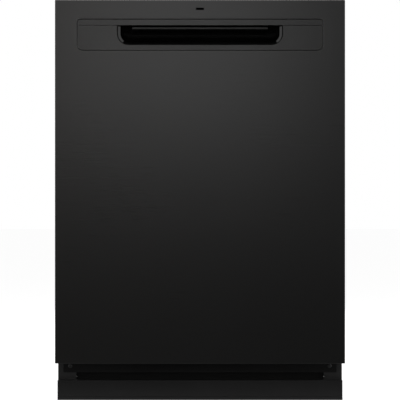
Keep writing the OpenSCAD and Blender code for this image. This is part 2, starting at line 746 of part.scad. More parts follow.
// The stainless inner door: a pan whose middle stands in towards the tub.
module door_liner() {
    z0 = ledge_z + 5;
    z1 = tub_top - 16;
    color("silver") difference() {
        union() {
            slab_xz(liner_y - 22, liner_y, rounded(-liner_half, liner_z0, liner_half, liner_z1, 6, 6));
            slab_xz(liner_y - 1, field_y, rounded(-field_half, z0, field_half, z1, 22, 22));
        }
        slab_xz(liner_y - 23, liner_y - liner_t, rounded(-liner_half + liner_t, liner_z0 + liner_t,
            liner_half - liner_t, liner_z1 - liner_t, 5, 5));
        slab_xz(liner_y - 5, field_y - liner_t, rounded(-field_half + liner_t, z0 + liner_t,
            field_half - liner_t, z1 - liner_t, 21, 21));
        block(disp_x0 - clear_gap, disp_x1 + clear_gap, liner_y - 5, field_y + 1, disp_z0 - clear_gap, disp_z1 + clear_gap);
        rod_y(liner_y - 5, field_y + 1, vent_x, vent_z, vent_r - 4 + clear_gap);
    }
}

// The hinge arm: a steel blade that turns on the stud, with a tail for the spring.
module hinge_arm() {
    y0 = y_front + 9;
    y1 = liner_y - 6;
    top = hinge_z + 194;
    chamfer = 7;
    heel_r = 13;
    lug_r = 5;
    tail_r = 2;
    color("silver") difference() {
        union() {
            slab_yz(arm_x0, arm_x0 + arm_t, concat(
                [[y1, hinge_z + 24], [y1, top - chamfer], [y1 - chamfer, top], [y0 + chamfer, top], [y0, top - chamfer]],
                [[y0, hinge_z + 10]], arc(hinge_y, hinge_z, heel_r, 170, 270),
                [[spring_y0 - 2, spring_z0 - 6], [spring_y0 + 5, spring_z0 - 4], [spring_y0 + 6, spring_z0 + 4],
                [spring_y0, spring_z0 + 8], [hinge_y + 15, hinge_z + 9]]));
            for (z = [hinge_z + 60, top - 24]) rod_x(liner_half + clear_gap, arm_x0 + 0.5, y1 - lug_r - 3, z, lug_r);
        }
        rod_x(arm_x0 - 1, arm_x0 + arm_t + 1, hinge_y, hinge_z, hinge_r + run_gap);
        rod_x(arm_x0 - 1, arm_x0 + arm_t + 1, spring_y0, spring_z0, tail_r);
        slab_yz(arm_x0 - 1, arm_x0 + arm_t + 1, rounded(y0 + 9, hinge_z + 80, y1 - 9, hinge_z + 150, 6, 6));
    }
}
module hinge_arm_right() hinge_arm();
module hinge_arm_left() mirror([1, 0, 0]) hinge_arm();

// ---------------------------------------------------------------- handle

insert_gap = 0.4;
flange_y0 = y_front + sheet_t + clear_gap;
rail_z1 = grip_z0 - 3.2;
rail_h = 6;
rail_back = y_front + 18;
pocket_top = insert_z1 + 10;

module handle_fascia() {
    color("#343433") difference() {
        union() {
            slab_xz(y_front, insert_back, rounded(-insert_half + insert_gap, insert_z0 + insert_gap,
                insert_half - insert_gap, grip_z0 - 0.15, 12, 0.4));
            slab_xz(flange_y0, insert_back, rounded(-insert_half - 5, insert_z0 - 5, insert_half + 5, grip_z0 - 0.15, 14, 0.4));
        }
        slab_xz(y_front - 1, insert_back + 1, rounded(-pocket_half, pocket_z0, pocket_half, grip_z0 + 20, pocket_r, 2));
    }
}

// The grip: the band along the insert's top and the rail that the fingers curl round.
module handle_grip() {
    color("#343433") {
        slab_xz(y_front, insert_back, rounded(-insert_half + insert_gap, grip_z0 + 0.15,
            insert_half - insert_gap, insert_z1 - insert_gap, 0.4, 6));
        slab_xz(flange_y0, insert_back, rounded(-insert_half - 5, grip_z0 + 0.15, insert_half + 5, insert_z1 + 5, 0.4, 8));
        slab_yz(-rail_w / 2, rail_w / 2, [[insert_back - 0.5, grip_z0 + 0.3], [rail_back - 2.5, grip_z0 + 0.3],
            [rail_back - 2.5, rail_z1 - 1], [rail_back - 9, rail_z1], [rail_back - 10, rail_z1 - 1],
            [rail_back - 10, rail_z1 - rail_h + 1.5], [rail_back - 8.5, rail_z1 - rail_h], [rail_back - 1, rail_z1 - rail_h],
            [rail_back, rail_z1 - rail_h + 1], [rail_back, grip_z0 + 2], [rail_back - 1, grip_z0 + 3],
            [insert_back - 0.5, grip_z0 + 3]]);
    }
}

// The hand pocket's hollow, grown outwards by a wall: a scoop whose back leans away towards its top.
pocket_wall = 1.6;
pocket_step = 1;
scoop_end_r = 9;
scoop_floor_r = 12;
module scoop(y0, grow) {
    lean = pocket_lean;
    end = pocket_half - pocket_step + grow;
    back = pocket_back - pocket_wall;
    floor_z = pocket_z0 + scoop_floor_r;
    floor_y = back - (pocket_top - floor_z) * tan(lean) - scoop_floor_r / cos(lean);
    intersection() {
        slab_xz(y0, pocket_back, rounded(-end - 0.5, pocket_z0 - grow, end + 0.5, pocket_top + grow,
            pocket_r + grow, 8 + grow));
        translate([0, back, pocket_top]) rotate([-lean, 0, 0]) translate([0, 0, -100]) linear_extrude(120)
            polygon(rounded(-end, -80, end, grow, 2, scoop_end_r + grow));
        slab_yz(-half_w, half_w, concat([[y0, pocket_top + 20], [y0, pocket_z0 - grow]],
            arc(floor_y, floor_z, scoop_floor_r + grow, -90, -lean - 3), [[pocket_back + 20, pocket_top + 20]]));
    }
}

module handle_pocket() {
    y0 = insert_back + clear_gap;
    rim = 9;
    color("#0c0c0c") difference() {
        union() {
            scoop(y0, pocket_wall);
            slab_xz(y0, y0 + 1.5, rounded(-pocket_half - rim, pocket_z0 - rim, pocket_half + rim, pocket_top + 3,
                pocket_r, 10));
        }
        scoop(y0 - 1, 0);
    }
}

// ---------------------------------------------------------------- console

console_half = half_w - 12;
console_y0 = y_front + 9;
console_y1 = liner_y + 1;
key_count = 4;
key_x0 = -console_half + 77.5;
key_y = liner_y - 19;
lens_x0 = console_half - 185.5;
lens_x1 = lens_x0 + 92;
lens_d = 16;
latch_half = 24;
strike_z = console_z0 + 6;

module control_console() {
    wall = 2;
    color("#151515") difference() {
        slab_yz(-console_half, console_half, [[console_y0, console_z0], [console_y1, console_z0],
            [console_y1, console_top - 2], [console_y1 - 2, console_top], [console_y0, console_top]]);
        block(-console_half + wall, console_half - wall, console_y0 + wall, console_y1 - wall, console_z0 - 1, console_top - wall);
        for (i = [0:key_count - 1]) rod_z(console_top - 4, console_top + 1, key_x0 + i * key_pitch, key_y, key_r + clear_gap);
        block(lens_x0, lens_x1, key_y - lens_d / 2, key_y + lens_d / 2, console_top - 4, console_top + 1);
        block(-13, 13, console_y1 - 4, console_y1 + 1, strike_z - 5, strike_z + 3);
    }
}

module display_lens() {
    color("black") {
        block(lens_x0 + clear_gap, lens_x1 - clear_gap, key_y - lens_d / 2 + clear_gap, key_y + lens_d / 2 - clear_gap,
            console_top - 3, console_top);
        block(lens_x0 - 3, lens_x1 + 3, key_y - lens_d / 2 - 3, key_y + lens_d / 2 + 3, console_top - 4, console_top - 2 - clear_gap);
    }
}

module key(i) {
    x = key_x0 + i * key_pitch;
    color("#2b2b2b") difference() {
        union() {
            rod_z(console_top - 4.5, console_top + 0.2, x, key_y, key_r);
            translate([x, key_y, console_top + 0.1]) cylinder(h = 1, r1 = key_r, r2 = key_r - 0.8);
            rod_z(console_top - 4.5, console_top - 2 - clear_gap, x, key_y, key_r + 1.6);
        }
        rod_z(console_top - 6, console_top - 3.4, x, key_y, key_r - 1.5);
    }
}
module button_1() key(0);
module button_2() key(1);
module button_3() key(2);
module button_4() key(3);

module door_latch() {
    z0 = liner_z1 + clear_gap;
    color("#8a8a8a") difference() {
        block(-latch_half, latch_half, console_y0 + 6, console_y1 - 2.3, z0, console_top - 2 - clear_gap);
        block(-12, 12, tub_y0 - 18, console_y1 + 1, strike_z - 4, strike_z + 2);
        block(-15, 15, console_y0 + 10, tub_y0 - 17, z0 + 2, console_top - 6);
    }
}

// ---------------------------------------------------------------- dispenser

disp_x0 = -114;
disp_x1 = 104;
disp_z0 = 508;
disp_z1 = 598;
disp_z = (disp_z0 + disp_z1) / 2;
cup_half = 32;
cup_h = 28;
cover_half = 36;
cover_travel = 74;
bezel_y = field_y + 3;
cap_x = 73;
cap_r = 17;
cap_shaft_r = 7;
vent_x = 168;
vent_z = 320;
vent_r = 31;

module dispenser() {
    color("#c9c8c4") difference() {
        union() {
            block(disp_x0, disp_x1, liner_y - 26, field_y + 0.5, disp_z0, disp_z1);
            slab_xz(field_y + clear_gap, bezel_y, rounded(disp_x0 - 6, disp_z0 - 6, disp_x1 + 6, disp_z1 + 6, 14, 14));
            for (z = [disp_z - cover_half - 3.3, disp_z + cover_half + 0.3])
                block(disp_x0, cover_half + 2, bezel_y - 1, bezel_y + 2.6, z, z + 3);
        }
        slab_xz(liner_y - 22, bezel_y + 1, rounded(-cup_half, disp_z - cup_h, cup_half, disp_z + cup_h, 8, 8));
        rod_y(field_y - 1, bezel_y + 1, cap_x, disp_z, cap_r + 1);
        rod_y(liner_y - 20, field_y, cap_x, disp_z, cap_shaft_r + run_gap);
    }
}

module detergent_cover() {
    y0 = bezel_y + clear_gap;
    color("#d6d5d1") {
        difference() {
            slab_xz(y0, y0 + 2, rounded(-cover_half, disp_z - cover_half, cover_half, disp_z + cover_half, 3, 3));
            for (i = [0:4]) block(-cover_half + 6 + i * 3.5, -cover_half + 7.6 + i * 3.5, y0 + 1.2, y0 + 3, disp_z - 16, disp_z + 16);
        }
    }
}

module rinse_aid_cap() {
    color("#dcdbd7") {
        rod_y(field_y - 0.7, bezel_y + 1.2, cap_x, disp_z, cap_r);
        rod_y(liner_y - 12, field_y, cap_x, disp_z, cap_shaft_r);
        slab_xz(bezel_y + 1, bezel_y + 6, rounded(cap_x - cap_r + 3, disp_z - 3.5, cap_x + cap_r - 3, disp_z + 3.5, 3, 3));
    }
}

module door_vent() {
    color("#6e7173") difference() {
        union() {
            rod_y(liner_y - 12, field_y + 0.5, vent_x, vent_z, vent_r - 4);
            rod_y(field_y + clear_gap, field_y + 3.2, vent_x, vent_z, vent_r);
        }
        rod_y(liner_y - 13, field_y - 2, vent_x, vent_z, vent_r - 7);
        for (z = [-16:8:16]) block(vent_x - sqrt(22 * 22 - z * z), vent_x + sqrt(22 * 22 - z * z),
            field_y - 3, field_y + 5, vent_z + z - 1.6, vent_z + z + 1.6);
    }
}

// ---------------------------------------------------------------- racks

rim_r = wire_r + 0.5;
corner_r = 28;
cross_level = 2 * wire_r - 0.8;
function wall_wires(a, b, n) = spread(a + corner_r + 8, b - corner_r - 8, n);

// One basket wall, standing on y = 0 with the basket's inside towards +y and the floor wires at z = 0.
module basket_wall(len, h, xs, level, bend_r, rails) {
    for (z = concat(rails, [h])) {
        y = z == h ? 0 : cross_level;
        rod_x(-len / 2 + corner_r, len / 2 - corner_r, y, z, z == h ? rim_r : wire_r);
        if (z == h) both_sides() translate([len / 2 - corner_r, corner_r, z]) rotate([0, 0, -90])
            rotate_extrude(angle = 44.4) translate([corner_r, 0]) circle(rim_r);
    }
    for (x = xs) {
        rod_z(level + bend_r - 0.01, h, x, 0, wire_r);
        translate([x, bend_r, level + bend_r]) rotate([90, 0, 90]) rotate([0, 0, 180])
            rotate_extrude(angle = 90) translate([bend_r, 0]) circle(wire_r);
    }
}

// A wire basket of four walls and a floor.
module basket(half, y0, y1, floor_z, h, nx, ny, bend_r, rails) {
    len = y1 - y0;
    mid = (y0 + y1) / 2;
    xs = wall_wires(-half, half, nx);
    ys = wall_wires(-len / 2, len / 2, ny);
    translate([0, y0, floor_z]) basket_wall(2 * half, h, xs, 0, bend_r, rails);
    translate([0, y1, floor_z]) rotate([0, 0, 180]) basket_wall(2 * half, h, xs, 0, bend_r, rails);
    translate([-half, mid, floor_z]) rotate([0, 0, -90]) basket_wall(len, h, ys, cross_level, bend_r, rails);
    translate([half, mid, floor_z]) rotate([0, 0, 90]) basket_wall(len, h, ys, cross_level, bend_r, rails);
    union() {
        for (x = xs) rod_y(y0 + bend_r + clear_gap, y1 - bend_r - clear_gap, x, floor_z, wire_r);
        for (y = ys) rod_x(-half + bend_r + clear_gap, half - bend_r - clear_gap, mid + y, floor_z + cross_level, wire_r);
    }
}

// Upright tines, each on a base wire that lies on the floor wires.
module tine_row(x, y0, y1, floor_z, h) {
    base = floor_z + cross_level + wire_r + tine_r + clear_gap;
    n = floor((y1 - y0) / tine_pitch);
    rod_y(y0, y1, x, base, tine_r);
    for (i = [0:n]) {
        y = y0 + 4 + i * tine_pitch;
        if (y < y1) {
            rod_z(base + tine_r + clear_gap, base + h - tine_r, x, y, tine_r);
        }
    }
}

lower_bend = 26;
upper_bend = 18;
tine_h = 92;
upper_tine_h = 60;
row_pitch = 70;
row_inset = 48;
upper_row_x = upper_half - 182;

module lower_rack_basket() {
    color("#8d9195") {
        basket(lower_half, rack_y0, lower_y1, lower_floor, lower_wall, 9, 9, lower_bend, [lower_wall * 0.45]);
        both_sides() for (y = [wheel_front_y, wheel_rear_y]) {
            slab_yz(lower_half + wire_r + clear_gap, lower_half + wire_r + clear_gap + 2.5, concat(
                arc(y, axle_z, 9, 180, 360), [[y + 15, axle_z + 30], [y - 15, axle_z + 30]]));
            rod_x(lower_half + wire_r + 1, wheel_x0 + wheel_w + 2, y, axle_z, axle_r);
            rod_x(lower_half + wire_r + 2.5, wheel_x0 - 1, y, axle_z, axle_r + 3);
            rod_x(wheel_x0 + wheel_w + 0.6, wheel_x0 + wheel_w + 2.4, y, axle_z, axle_r + 2.5);
        }
        for (y = [fold_y0 - 7, fold_y1 + 1]) fold_clip(y);
    }
}

fold_y0 = rack_y0 + 108;
fold_y1 = lower_y1 - 36;
fold_z = lower_floor + cross_level + wire_r + clear_gap + 8;
module fold_clip(y) {
    difference() {
        slab_xz(y, y + 6, concat(arc(fold_x, fold_z, 6.5, 0, 180),
            [[fold_x - 9, fold_z - 8], [fold_x + 9, fold_z - 8]]));
        rod_y(y - 1, y + 7, fold_x, fold_z, tine_r + run_gap);
    }
}

module lower_rack_tines() {
    color("#8d9195") for (x = concat([for (k = [0:2]) -lower_half + row_inset + k * row_pitch], [lower_half - 90]))
        tine_row(x, fold_y0 - 4, lower_y1 - 30, lower_floor, tine_h);
}

// A comb of plate tines that lies down towards the rack's middle.
module fold_down_tines() {
    n = floor((fold_y1 - fold_y0 - 14) / tine_pitch);
    color("#6f7478") {
        rod_y(fold_y0 - 9, fold_y1 + 9, fold_x, fold_z, tine_r);
        for (i = [0:n]) rod_z(fold_z, fold_z + tine_h - 12, fold_x, fold_y0 + 8 + i * tine_pitch, tine_r);
    }
}

module wheel(x, y) {
    r = wheel_r;
    w = wheel_w;
    color("#9a9da0") translate([x, y, axle_z]) rotate([0, 90, 0]) rotate_extrude() polygon([
        [axle_r + run_gap, 0], [axle_r + 4, 0], [axle_r + 4, 3], [r - 4, 3], [r - 3, 1], [r - 1, 1], [r, 2.5],
        [r, w - 2.5], [r - 1, w - 1], [r - 3, w - 1], [r - 4, w - 3], [axle_r + 4, w - 3], [axle_r + 4, w], [axle_r + run_gap, w]]);
}
module wheels_front() both_sides() wheel(wheel_x0, wheel_front_y);
module wheels_rear() both_sides() wheel(wheel_x0, wheel_rear_y);

// The cutlery basket stands on the lower basket's floor, behind its front wall.
module silverware_basket() {
    wall = 2.2;
    x0 = 24;
    x1 = lower_half - lower_bend - 1;
    y0 = rack_y0 + 16;
    y1 = y0 + 66;
    z0 = lower_floor + cross_level + wire_r + clear_gap;
    z1 = z0 + 122;
    cells = 4;
    step = (x1 - x0 - wall) / cells;
    color("#7d8185") {
        difference() {
            slab_xy(z0, z1, rounded(x0, y0, x1, y1, 9, 9));
            for (i = [0:cells - 1]) block(x0 + wall + i * step, x0 + (i + 1) * step, y0 + wall, y1 - wall, z0 + wall, z1 + 1);
            for (i = [0:cells - 1], k = [0:2], y = [y0 - 1, y1 - wall - 1])
                block(x0 + wall + i * step + 8, x0 + (i + 1) * step - 8, y, y + wall + 2, z0 + 18 + k * 34, z0 + 38 + k * 34);
        }
        mid = (x0 + x1) / 2;
        yc = (y0 + y1) / 2;
        slab_yz(mid - 1.6, mid + 1.6, concat([[yc + 12, z1 - 20], [yc + 12, z1 + 60]],
            arc(yc, z1 + 60, 12, 0, 180), [[yc - 12, z1 - 20]],
            [[yc - 6, z1 - 20], [yc - 6, z1 + 60]], arc(yc, z1 + 60, 6, 180, 0), [[yc + 6, z1 - 20]]));
    }
}

hanger_y0 = -104;
hanger_y1 = 140;
guide_x1 = tub_half - clear_gap;
mid_x1 = guide_x1 - 2.4;
module upper_rack_basket() {
    x0 = upper_half + rim_r + clear_gap;
    color("#8d9195") {
        basket(upper_half, rack_y0, upper_y1, upper_floor, upper_wall, 9, 8, upper_bend, [upper_wall * 0.5]);
        both_sides() {
            block(x0, x0 + 3, hanger_y0, hanger_y1, guide_z - 14, upper_z1 - 12);
            block(x0 + 2, mid_x1 - 2.4, hanger_y0, hanger_y1, guide_z - guide_h / 2 + 4.4, guide_z + guide_h / 2 - 4.4);
        }
        for (y = [shelf_y0 - 7, shelf_y1 + 1]) difference() {
            slab_xz(y, y + 6, concat([[-upper_half + wire_r + clear_gap, shelf_z + 8]],
                [[-upper_half + wire_r + clear_gap, shelf_z - 8]], arc(shelf_x, shelf_z, 7, -90, 90)));
            rod_y(y - 1, y + 7, shelf_x, shelf_z, tine_r + run_gap);
        }
    }
}

module upper_rack_tines() {
    color("#8d9195") for (x = [-upper_row_x, upper_row_x, upper_row_x + 80])
        tine_row(x, rack_y0 + 70, upper_y1 - 40, upper_floor, upper_tine_h);
}

// The shelf's clips stand against upright wires of the side wall.
upper_ys = wall_wires(rack_y0, upper_y1, 8);
shelf_x = -upper_half + 14;
shelf_y0 = upper_ys[2] + 4;
shelf_y1 = upper_ys[6] - 4;
shelf_w = 96;
module cup_shelf() {
    n = 6;
    color("#6f7478") {
        rod_y(shelf_y0 - 9, shelf_y1 + 9, shelf_x, shelf_z, tine_r);
        rod_y(shelf_y0 + 8, shelf_y1 - 8, shelf_x + shelf_w, shelf_z, tine_r);
        rod_y(shelf_y0 + 8, shelf_y1 - 8, shelf_x + shelf_w * 0.45, shelf_z - 2.6, tine_r);
        for (y = spread(shelf_y0 + 14, shelf_y1 - 14, n)) rod_x(shelf_x, shelf_x + shelf_w, y, shelf_z + 0.6, tine_r - 0.3);
    }
}

feed_z = middle_z + 25;
feed_r = 8;
port_y = riser_y - 21;
module rack_feed_tube() {
    color("#9aa0a4") {
        rod_y(spray_y - 14, port_y - clear_gap, 0, feed_z, feed_r);
        rod_z(middle_z - 3, feed_z + 2, 0, spray_y, 7);
        rod_z(middle_z - 7, middle_z - 1.5, 0, spray_y, 11);
        for (y = [spray_y + 4, upper_y1 - 60])
            block(-9, 9, y, y + 10, feed_z + 2, upper_floor - wire_r - clear_gap);
    }
}

// The moving half of the telescopic rails.
module upper_rails() {
    h = guide_h / 2 - 1.5 - 0.6;
    y0 = tub_y0 + 19;
    y1 = riser_y - 40;
    color("silver") both_sides() {
        block(mid_x1 - 1.5, mid_x1, y0, y1, guide_z - h, guide_z + h);
        for (z = [guide_z - h, guide_z + h - 1.5]) block(mid_x1 - 9, mid_x1, y0, y1, z, z + 1.5);
    }
}

module rail_guides() {
    h = guide_h / 2;
    y0 = tub_y0 + 17;
    y1 = riser_y - 38;
    color("gainsboro") both_sides() {
        block(guide_x1 - 1.5, guide_x1, y0, y1, guide_z - h, guide_z + h);
        for (z = [guide_z - h, guide_z + h - 1.5]) block(guide_x1 - 11, guide_x1, y0, y1, z, z + 1.5);
        block(guide_x1 - 11, guide_x1 - 1, y1 - 2, y1, guide_z - h, guide_z + h);
    }
}

tub();
tub_gasket();
insulation_blanket();
base_rail_left();
base_rail_right();
base_cross_rails();
access_panel();
toe_kick();
door_springs();
mounting_brackets();
latch_strike();
sump();
filter_plate();
fine_filter();
wash_pump();
drain_pump();
inlet_valve();
inlet_hose();
heater_ring();
float_cap();
junction_box();
spray_riser();
top_spray_arm();
lower_spray_arm();
rail_guides();
foot_front_left();
foot_front_right();
foot_rear_left();
foot_rear_right();
door_panel();
door_liner();
control_console();
display_lens();
status_lens();
handle_fascia();
handle_grip();
handle_pocket();
dispenser();
door_vent();
hinge_arm_left();
hinge_arm_right();
door_latch();
detergent_cover();
rinse_aid_cap();
button_1();
button_2();
button_3();
button_4();
upper_rack_basket();
upper_rack_tines();
cup_shelf();
rack_feed_tube();
middle_spray_arm();
upper_rails();
lower_rack_basket();
lower_rack_tines();
fold_down_tines();
wheels_front();
wheels_rear();
silverware_basket();
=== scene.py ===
import bmesh
import bpy
import json
import math
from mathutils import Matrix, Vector, noise


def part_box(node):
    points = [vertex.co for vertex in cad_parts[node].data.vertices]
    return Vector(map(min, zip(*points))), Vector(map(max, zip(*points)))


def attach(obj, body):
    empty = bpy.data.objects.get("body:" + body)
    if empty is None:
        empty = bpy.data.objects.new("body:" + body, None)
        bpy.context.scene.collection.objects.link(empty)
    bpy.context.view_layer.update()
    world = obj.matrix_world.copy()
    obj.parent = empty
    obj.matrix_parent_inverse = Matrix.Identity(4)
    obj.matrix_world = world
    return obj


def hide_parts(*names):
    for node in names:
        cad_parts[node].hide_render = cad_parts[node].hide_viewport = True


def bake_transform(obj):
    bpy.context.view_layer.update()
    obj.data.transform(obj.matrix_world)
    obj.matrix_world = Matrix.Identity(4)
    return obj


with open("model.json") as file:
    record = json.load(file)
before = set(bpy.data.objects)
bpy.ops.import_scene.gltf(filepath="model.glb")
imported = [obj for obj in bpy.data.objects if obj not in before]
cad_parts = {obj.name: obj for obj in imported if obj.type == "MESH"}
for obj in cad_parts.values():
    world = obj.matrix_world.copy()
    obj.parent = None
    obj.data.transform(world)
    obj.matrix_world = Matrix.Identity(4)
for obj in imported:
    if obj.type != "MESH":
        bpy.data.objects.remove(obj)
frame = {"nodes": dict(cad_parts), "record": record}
nodes = frame["nodes"]
scene = bpy.context.scene
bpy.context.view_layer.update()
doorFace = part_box("door_panel")[0].y
bodyOf = {node: body for body, members in frame["record"]["behaviour"]["bodies"].items() for node in members}


def link(obj):
    scene.collection.objects.link(obj)
    return obj


def rgba(tone):  # a single number is a grey
    return (*tone, 1.0) if isinstance(tone, tuple) else (tone, tone, tone, 1.0)


# A shader or geometry node with its sockets filled: a socket value links, any other value is set.
def place(tree, kind, inputs=None, **settings):
    node = tree.nodes.new(kind)
    for key, value in settings.items():
        setattr(node, key, value)
    for key, value in (inputs or {}).items():
        if isinstance(value, bpy.types.NodeSocket):
            tree.links.new(value, node.inputs[key])
        else:
            node.inputs[key].default_value = value
    return node


def shade(tree, kind, inputs=None, **settings):
    return place(tree, "ShaderNode" + kind, inputs, **settings)


def calc(tree, operation, *values, clamp=False):
    return shade(tree, "Math", dict(enumerate(values)), operation=operation, use_clamp=clamp).outputs[0]


# Each socket is given by its usual value, or by the name of its type where it has none.
def groupTree(name, kind, inputs, outputs):
    tree = bpy.data.node_groups.new(name, kind)
    types = {bool: "Bool", int: "Int", float: "Float", tuple: "Vector"}
    for direction, sockets in (("INPUT", inputs), ("OUTPUT", outputs)):
        for label, value in sockets.items():
            socketType = "NodeSocket" + (value if isinstance(value, str) else types[type(value)])
            socket = tree.interface.new_socket(label, in_out=direction, socket_type=socketType)
            if not isinstance(value, str):
                socket.default_value = value
    return tree, tree.nodes.new("NodeGroupInput").outputs, tree.nodes.new("NodeGroupOutput").inputs


# camera, light and floor
studio = {
    "cameraDistance": 5.0, "cameraHeight": 0.4239, "lens": 216.5, "sensor": 36.0, "clipEnd": 200.0,
    "keyPower": 7.4, "faceFillPower": 72.0, "keySize": (1.0, 0.8), "keyPlace": (-0.13, -4.1, 1.1),
    "keyAim": (0.0, -0.3, 0.45),
    "warmPower": 0.65, "warmSize": (0.45, 0.9), "warmPlace": (-0.9, -4.0, 1.0), "warmColor": (1.0, 0.72, 0.5),
    "sidePower": 42.0, "sideSize": (2.0, 2.0), "sideAim": (0, 0, 0.4),
    "sidePlaces": {"left": (-3.4, 0.4, 1.6), "right": (3.4, 0.4, 1.6), "back": (0.5, 3.4, 1.8)},
    "fill": 0.36, "floorSize": 60.0, "floorTone": 0.6, "floorLift": 0.76,
    "curtainTone": 0.01, "curtainHalf": 2.2, "curtainY": -4.3, "curtainTop": 5.0, "canopyY": -0.8,
    "apronHalf": 0.85, "apronY": -0.36, "apronZ": 0.0003,
}


def addSoftbox(name, kind, spot, target, color=(1.0, 1.0, 1.0), size=None):
    lamp = bpy.data.lights.new(name, "AREA")
    lamp.shape = "RECTANGLE"
    lamp.size, lamp.size_y = size or studio[kind + "Size"]
    lamp.energy, lamp.color = studio[kind + "Power"], color
    obj = link(bpy.data.objects.new(name, lamp))
    obj.location = spot
    obj.rotation_euler = (Vector(target) - Vector(spot)).to_track_quat("-Z", "Y").to_euler()
    obj.visible_camera = False
    return obj


def seenDirectly(tree):
    path = shade(tree, "LightPath")
    mask = path.outputs["Is Camera Ray"]
    for ray in ("Is Glossy Ray", "Is Transmission Ray"):
        mask = calc(tree, "MAXIMUM", mask, path.outputs[ray])
    return mask


def drawn(name, verts, edges=(), faces=()):
    mesh = bpy.data.meshes.new(name)
    mesh.from_pydata(verts, edges, faces)
    return link(bpy.data.objects.new(name, mesh))


def stageSheet(name, corners, material):
    obj = drawn(name, corners, faces=[range(len(corners))])
    obj.data.materials.append(material)
    return obj


def level(x, y0, y1, z):  # the corners of a flat sheet from -x to x
    return [(-x, y0, z), (x, y0, z), (x, y1, z), (-x, y1, z)]


def emptied(owner):
    owner.use_nodes = True
    owner.node_tree.nodes.clear()
    return owner.node_tree


def buildStudio():
    camera = bpy.data.cameras.new("camera")
    camera.lens, camera.sensor_width, camera.clip_end = studio["lens"], studio["sensor"], studio["clipEnd"]
    obj = link(bpy.data.objects.new("camera", camera))
    obj.location = (0.0, doorFace - studio["cameraDistance"], studio["cameraHeight"])
    obj.rotation_euler = (math.pi / 2, 0.0, 0.0)
    scene.camera = obj

    addSoftbox("keySoftbox", "key", studio["keyPlace"], studio["keyAim"])
    addSoftbox("warmSoftbox", "warm", studio["warmPlace"], studio["keyAim"], studio["warmColor"])
    # This one lights the front without showing in it.
    faceFill = addSoftbox("faceFill", "faceFill", studio["keyPlace"], studio["keyAim"], size=studio["keySize"])
    faceFill.visible_glossy = False
    for side, spot in studio["sidePlaces"].items():
        addSoftbox(side + "Softbox", "side", spot, studio["sideAim"])

    scene.world = bpy.data.worlds.new("paleStudio")
    tree = emptied(scene.world)
    fill, white = [shade(tree, "Background", {"Color": rgba(1.0), "Strength": strength}).outputs[0]
                   for strength in (studio["fill"], 1.0)]
    both = shade(tree, "MixShader", {0: seenDirectly(tree), 1: fill, 2: white})
    shade(tree, "OutputWorld", {"Surface": both.outputs[0]})

    # The floor is clear from below, so that the underside can be seen.
    floor = bpy.data.materials.new("paleFloor")
    tree = emptied(floor)
    lit = shade(tree, "BsdfDiffuse", {"Color": rgba(studio["floorTone"])})
    strength = calc(tree, "MULTIPLY", seenDirectly(tree), studio["floorLift"])
    glow = shade(tree, "Emission", {"Color": rgba(1.0), "Strength": strength})
    both = shade(tree, "AddShader", {0: lit.outputs[0], 1: glow.outputs[0]})
    below = shade(tree, "NewGeometry").outputs["Backfacing"]
    clear = shade(tree, "BsdfTransparent")
    sided = shade(tree, "MixShader", {0: below, 1: both.outputs[0], 2: clear.outputs[0]})
    shade(tree, "OutputMaterial", {"Surface": sided.outputs[0]})
    half = studio["floorSize"] / 2
    stageSheet("floor", level(half, -half, half, 0), floor)

    # Dark sheets round the front, seen only in what the object reflects.
    dark = bpy.data.materials.new("darkCurtain")
    dark.use_nodes = True
    dark.node_tree.nodes["Principled BSDF"].inputs["Base Color"].default_value = rgba(studio["curtainTone"])
    wide, far, tall = studio["curtainHalf"], studio["curtainY"], studio["curtainTop"]
    sheets = {"curtain": [(-wide, far, 0), (-wide, far, tall), (wide, far, tall), (wide, far, 0)],
              "apron": level(studio["apronHalf"], far, studio["apronY"], studio["apronZ"]),
              "canopy": level(wide, studio["canopyY"], far, tall)}
    for name, corners in sheets.items():
        sheet = stageSheet(name, corners, dark)
        sheet.visible_camera = sheet.visible_shadow = sheet.visible_diffuse = sheet.visible_transmission = False

    scene.view_settings.view_transform = "Standard"
    print("studio: camera, six lamps, floor and three dark sheets")


def stretched(tree, factors):
    where = shade(tree, "TexCoord").outputs["Object"]
    return shade(tree, "VectorMath", {0: where, 1: factors}, operation="MULTIPLY").outputs[0]


def cloud(tree, where=None, **inputs):
    if where is None:
        where = shade(tree, "TexCoord").outputs["Object"]
    return shade(tree, "TexNoise", {"Vector": where, **inputs}).outputs["Fac"]


def cells(tree, scale, output):
    where = shade(tree, "TexCoord").outputs["Object"]
    return shade(tree, "TexVoronoi", {"Vector": where, "Scale": scale}).outputs[output]


def remap(tree, value, low, high):
    return shade(tree, "MapRange", {"Value": value, "From Min": low, "From Max": high}).outputs[0]


def blendValues(tree, share, first, second):
    return shade(tree, "Mix", {0: share, 2: first, 3: second}).outputs[0]


# The insides of the shader groups. Each puts out one value or mask.
def brushedGrain(tree, given):  # fine lines: the scale is small along them and large across
    return cloud(tree, stretched(tree, given["Lines"]), Scale=1.0, Detail=given["Detail"], Roughness=0.65)


def handling(tree, given):  # broad uneven patches, from wiping and touching
    broad = cloud(tree, Scale=given["Scale"], Detail=5.0, Roughness=0.6, Distortion=0.6)
    return calc(tree, "MULTIPLY_ADD", calc(tree, "SUBTRACT", broad, 0.5), given["Contrast"], 0.5, clamp=True)


def skinTexture(tree, given):  # the fine skin of a coating or a mould
    scale = given["Scale"]
    return blendValues(tree, given["Pits"], cloud(tree, Scale=scale), cells(tree, scale, "Distance"))


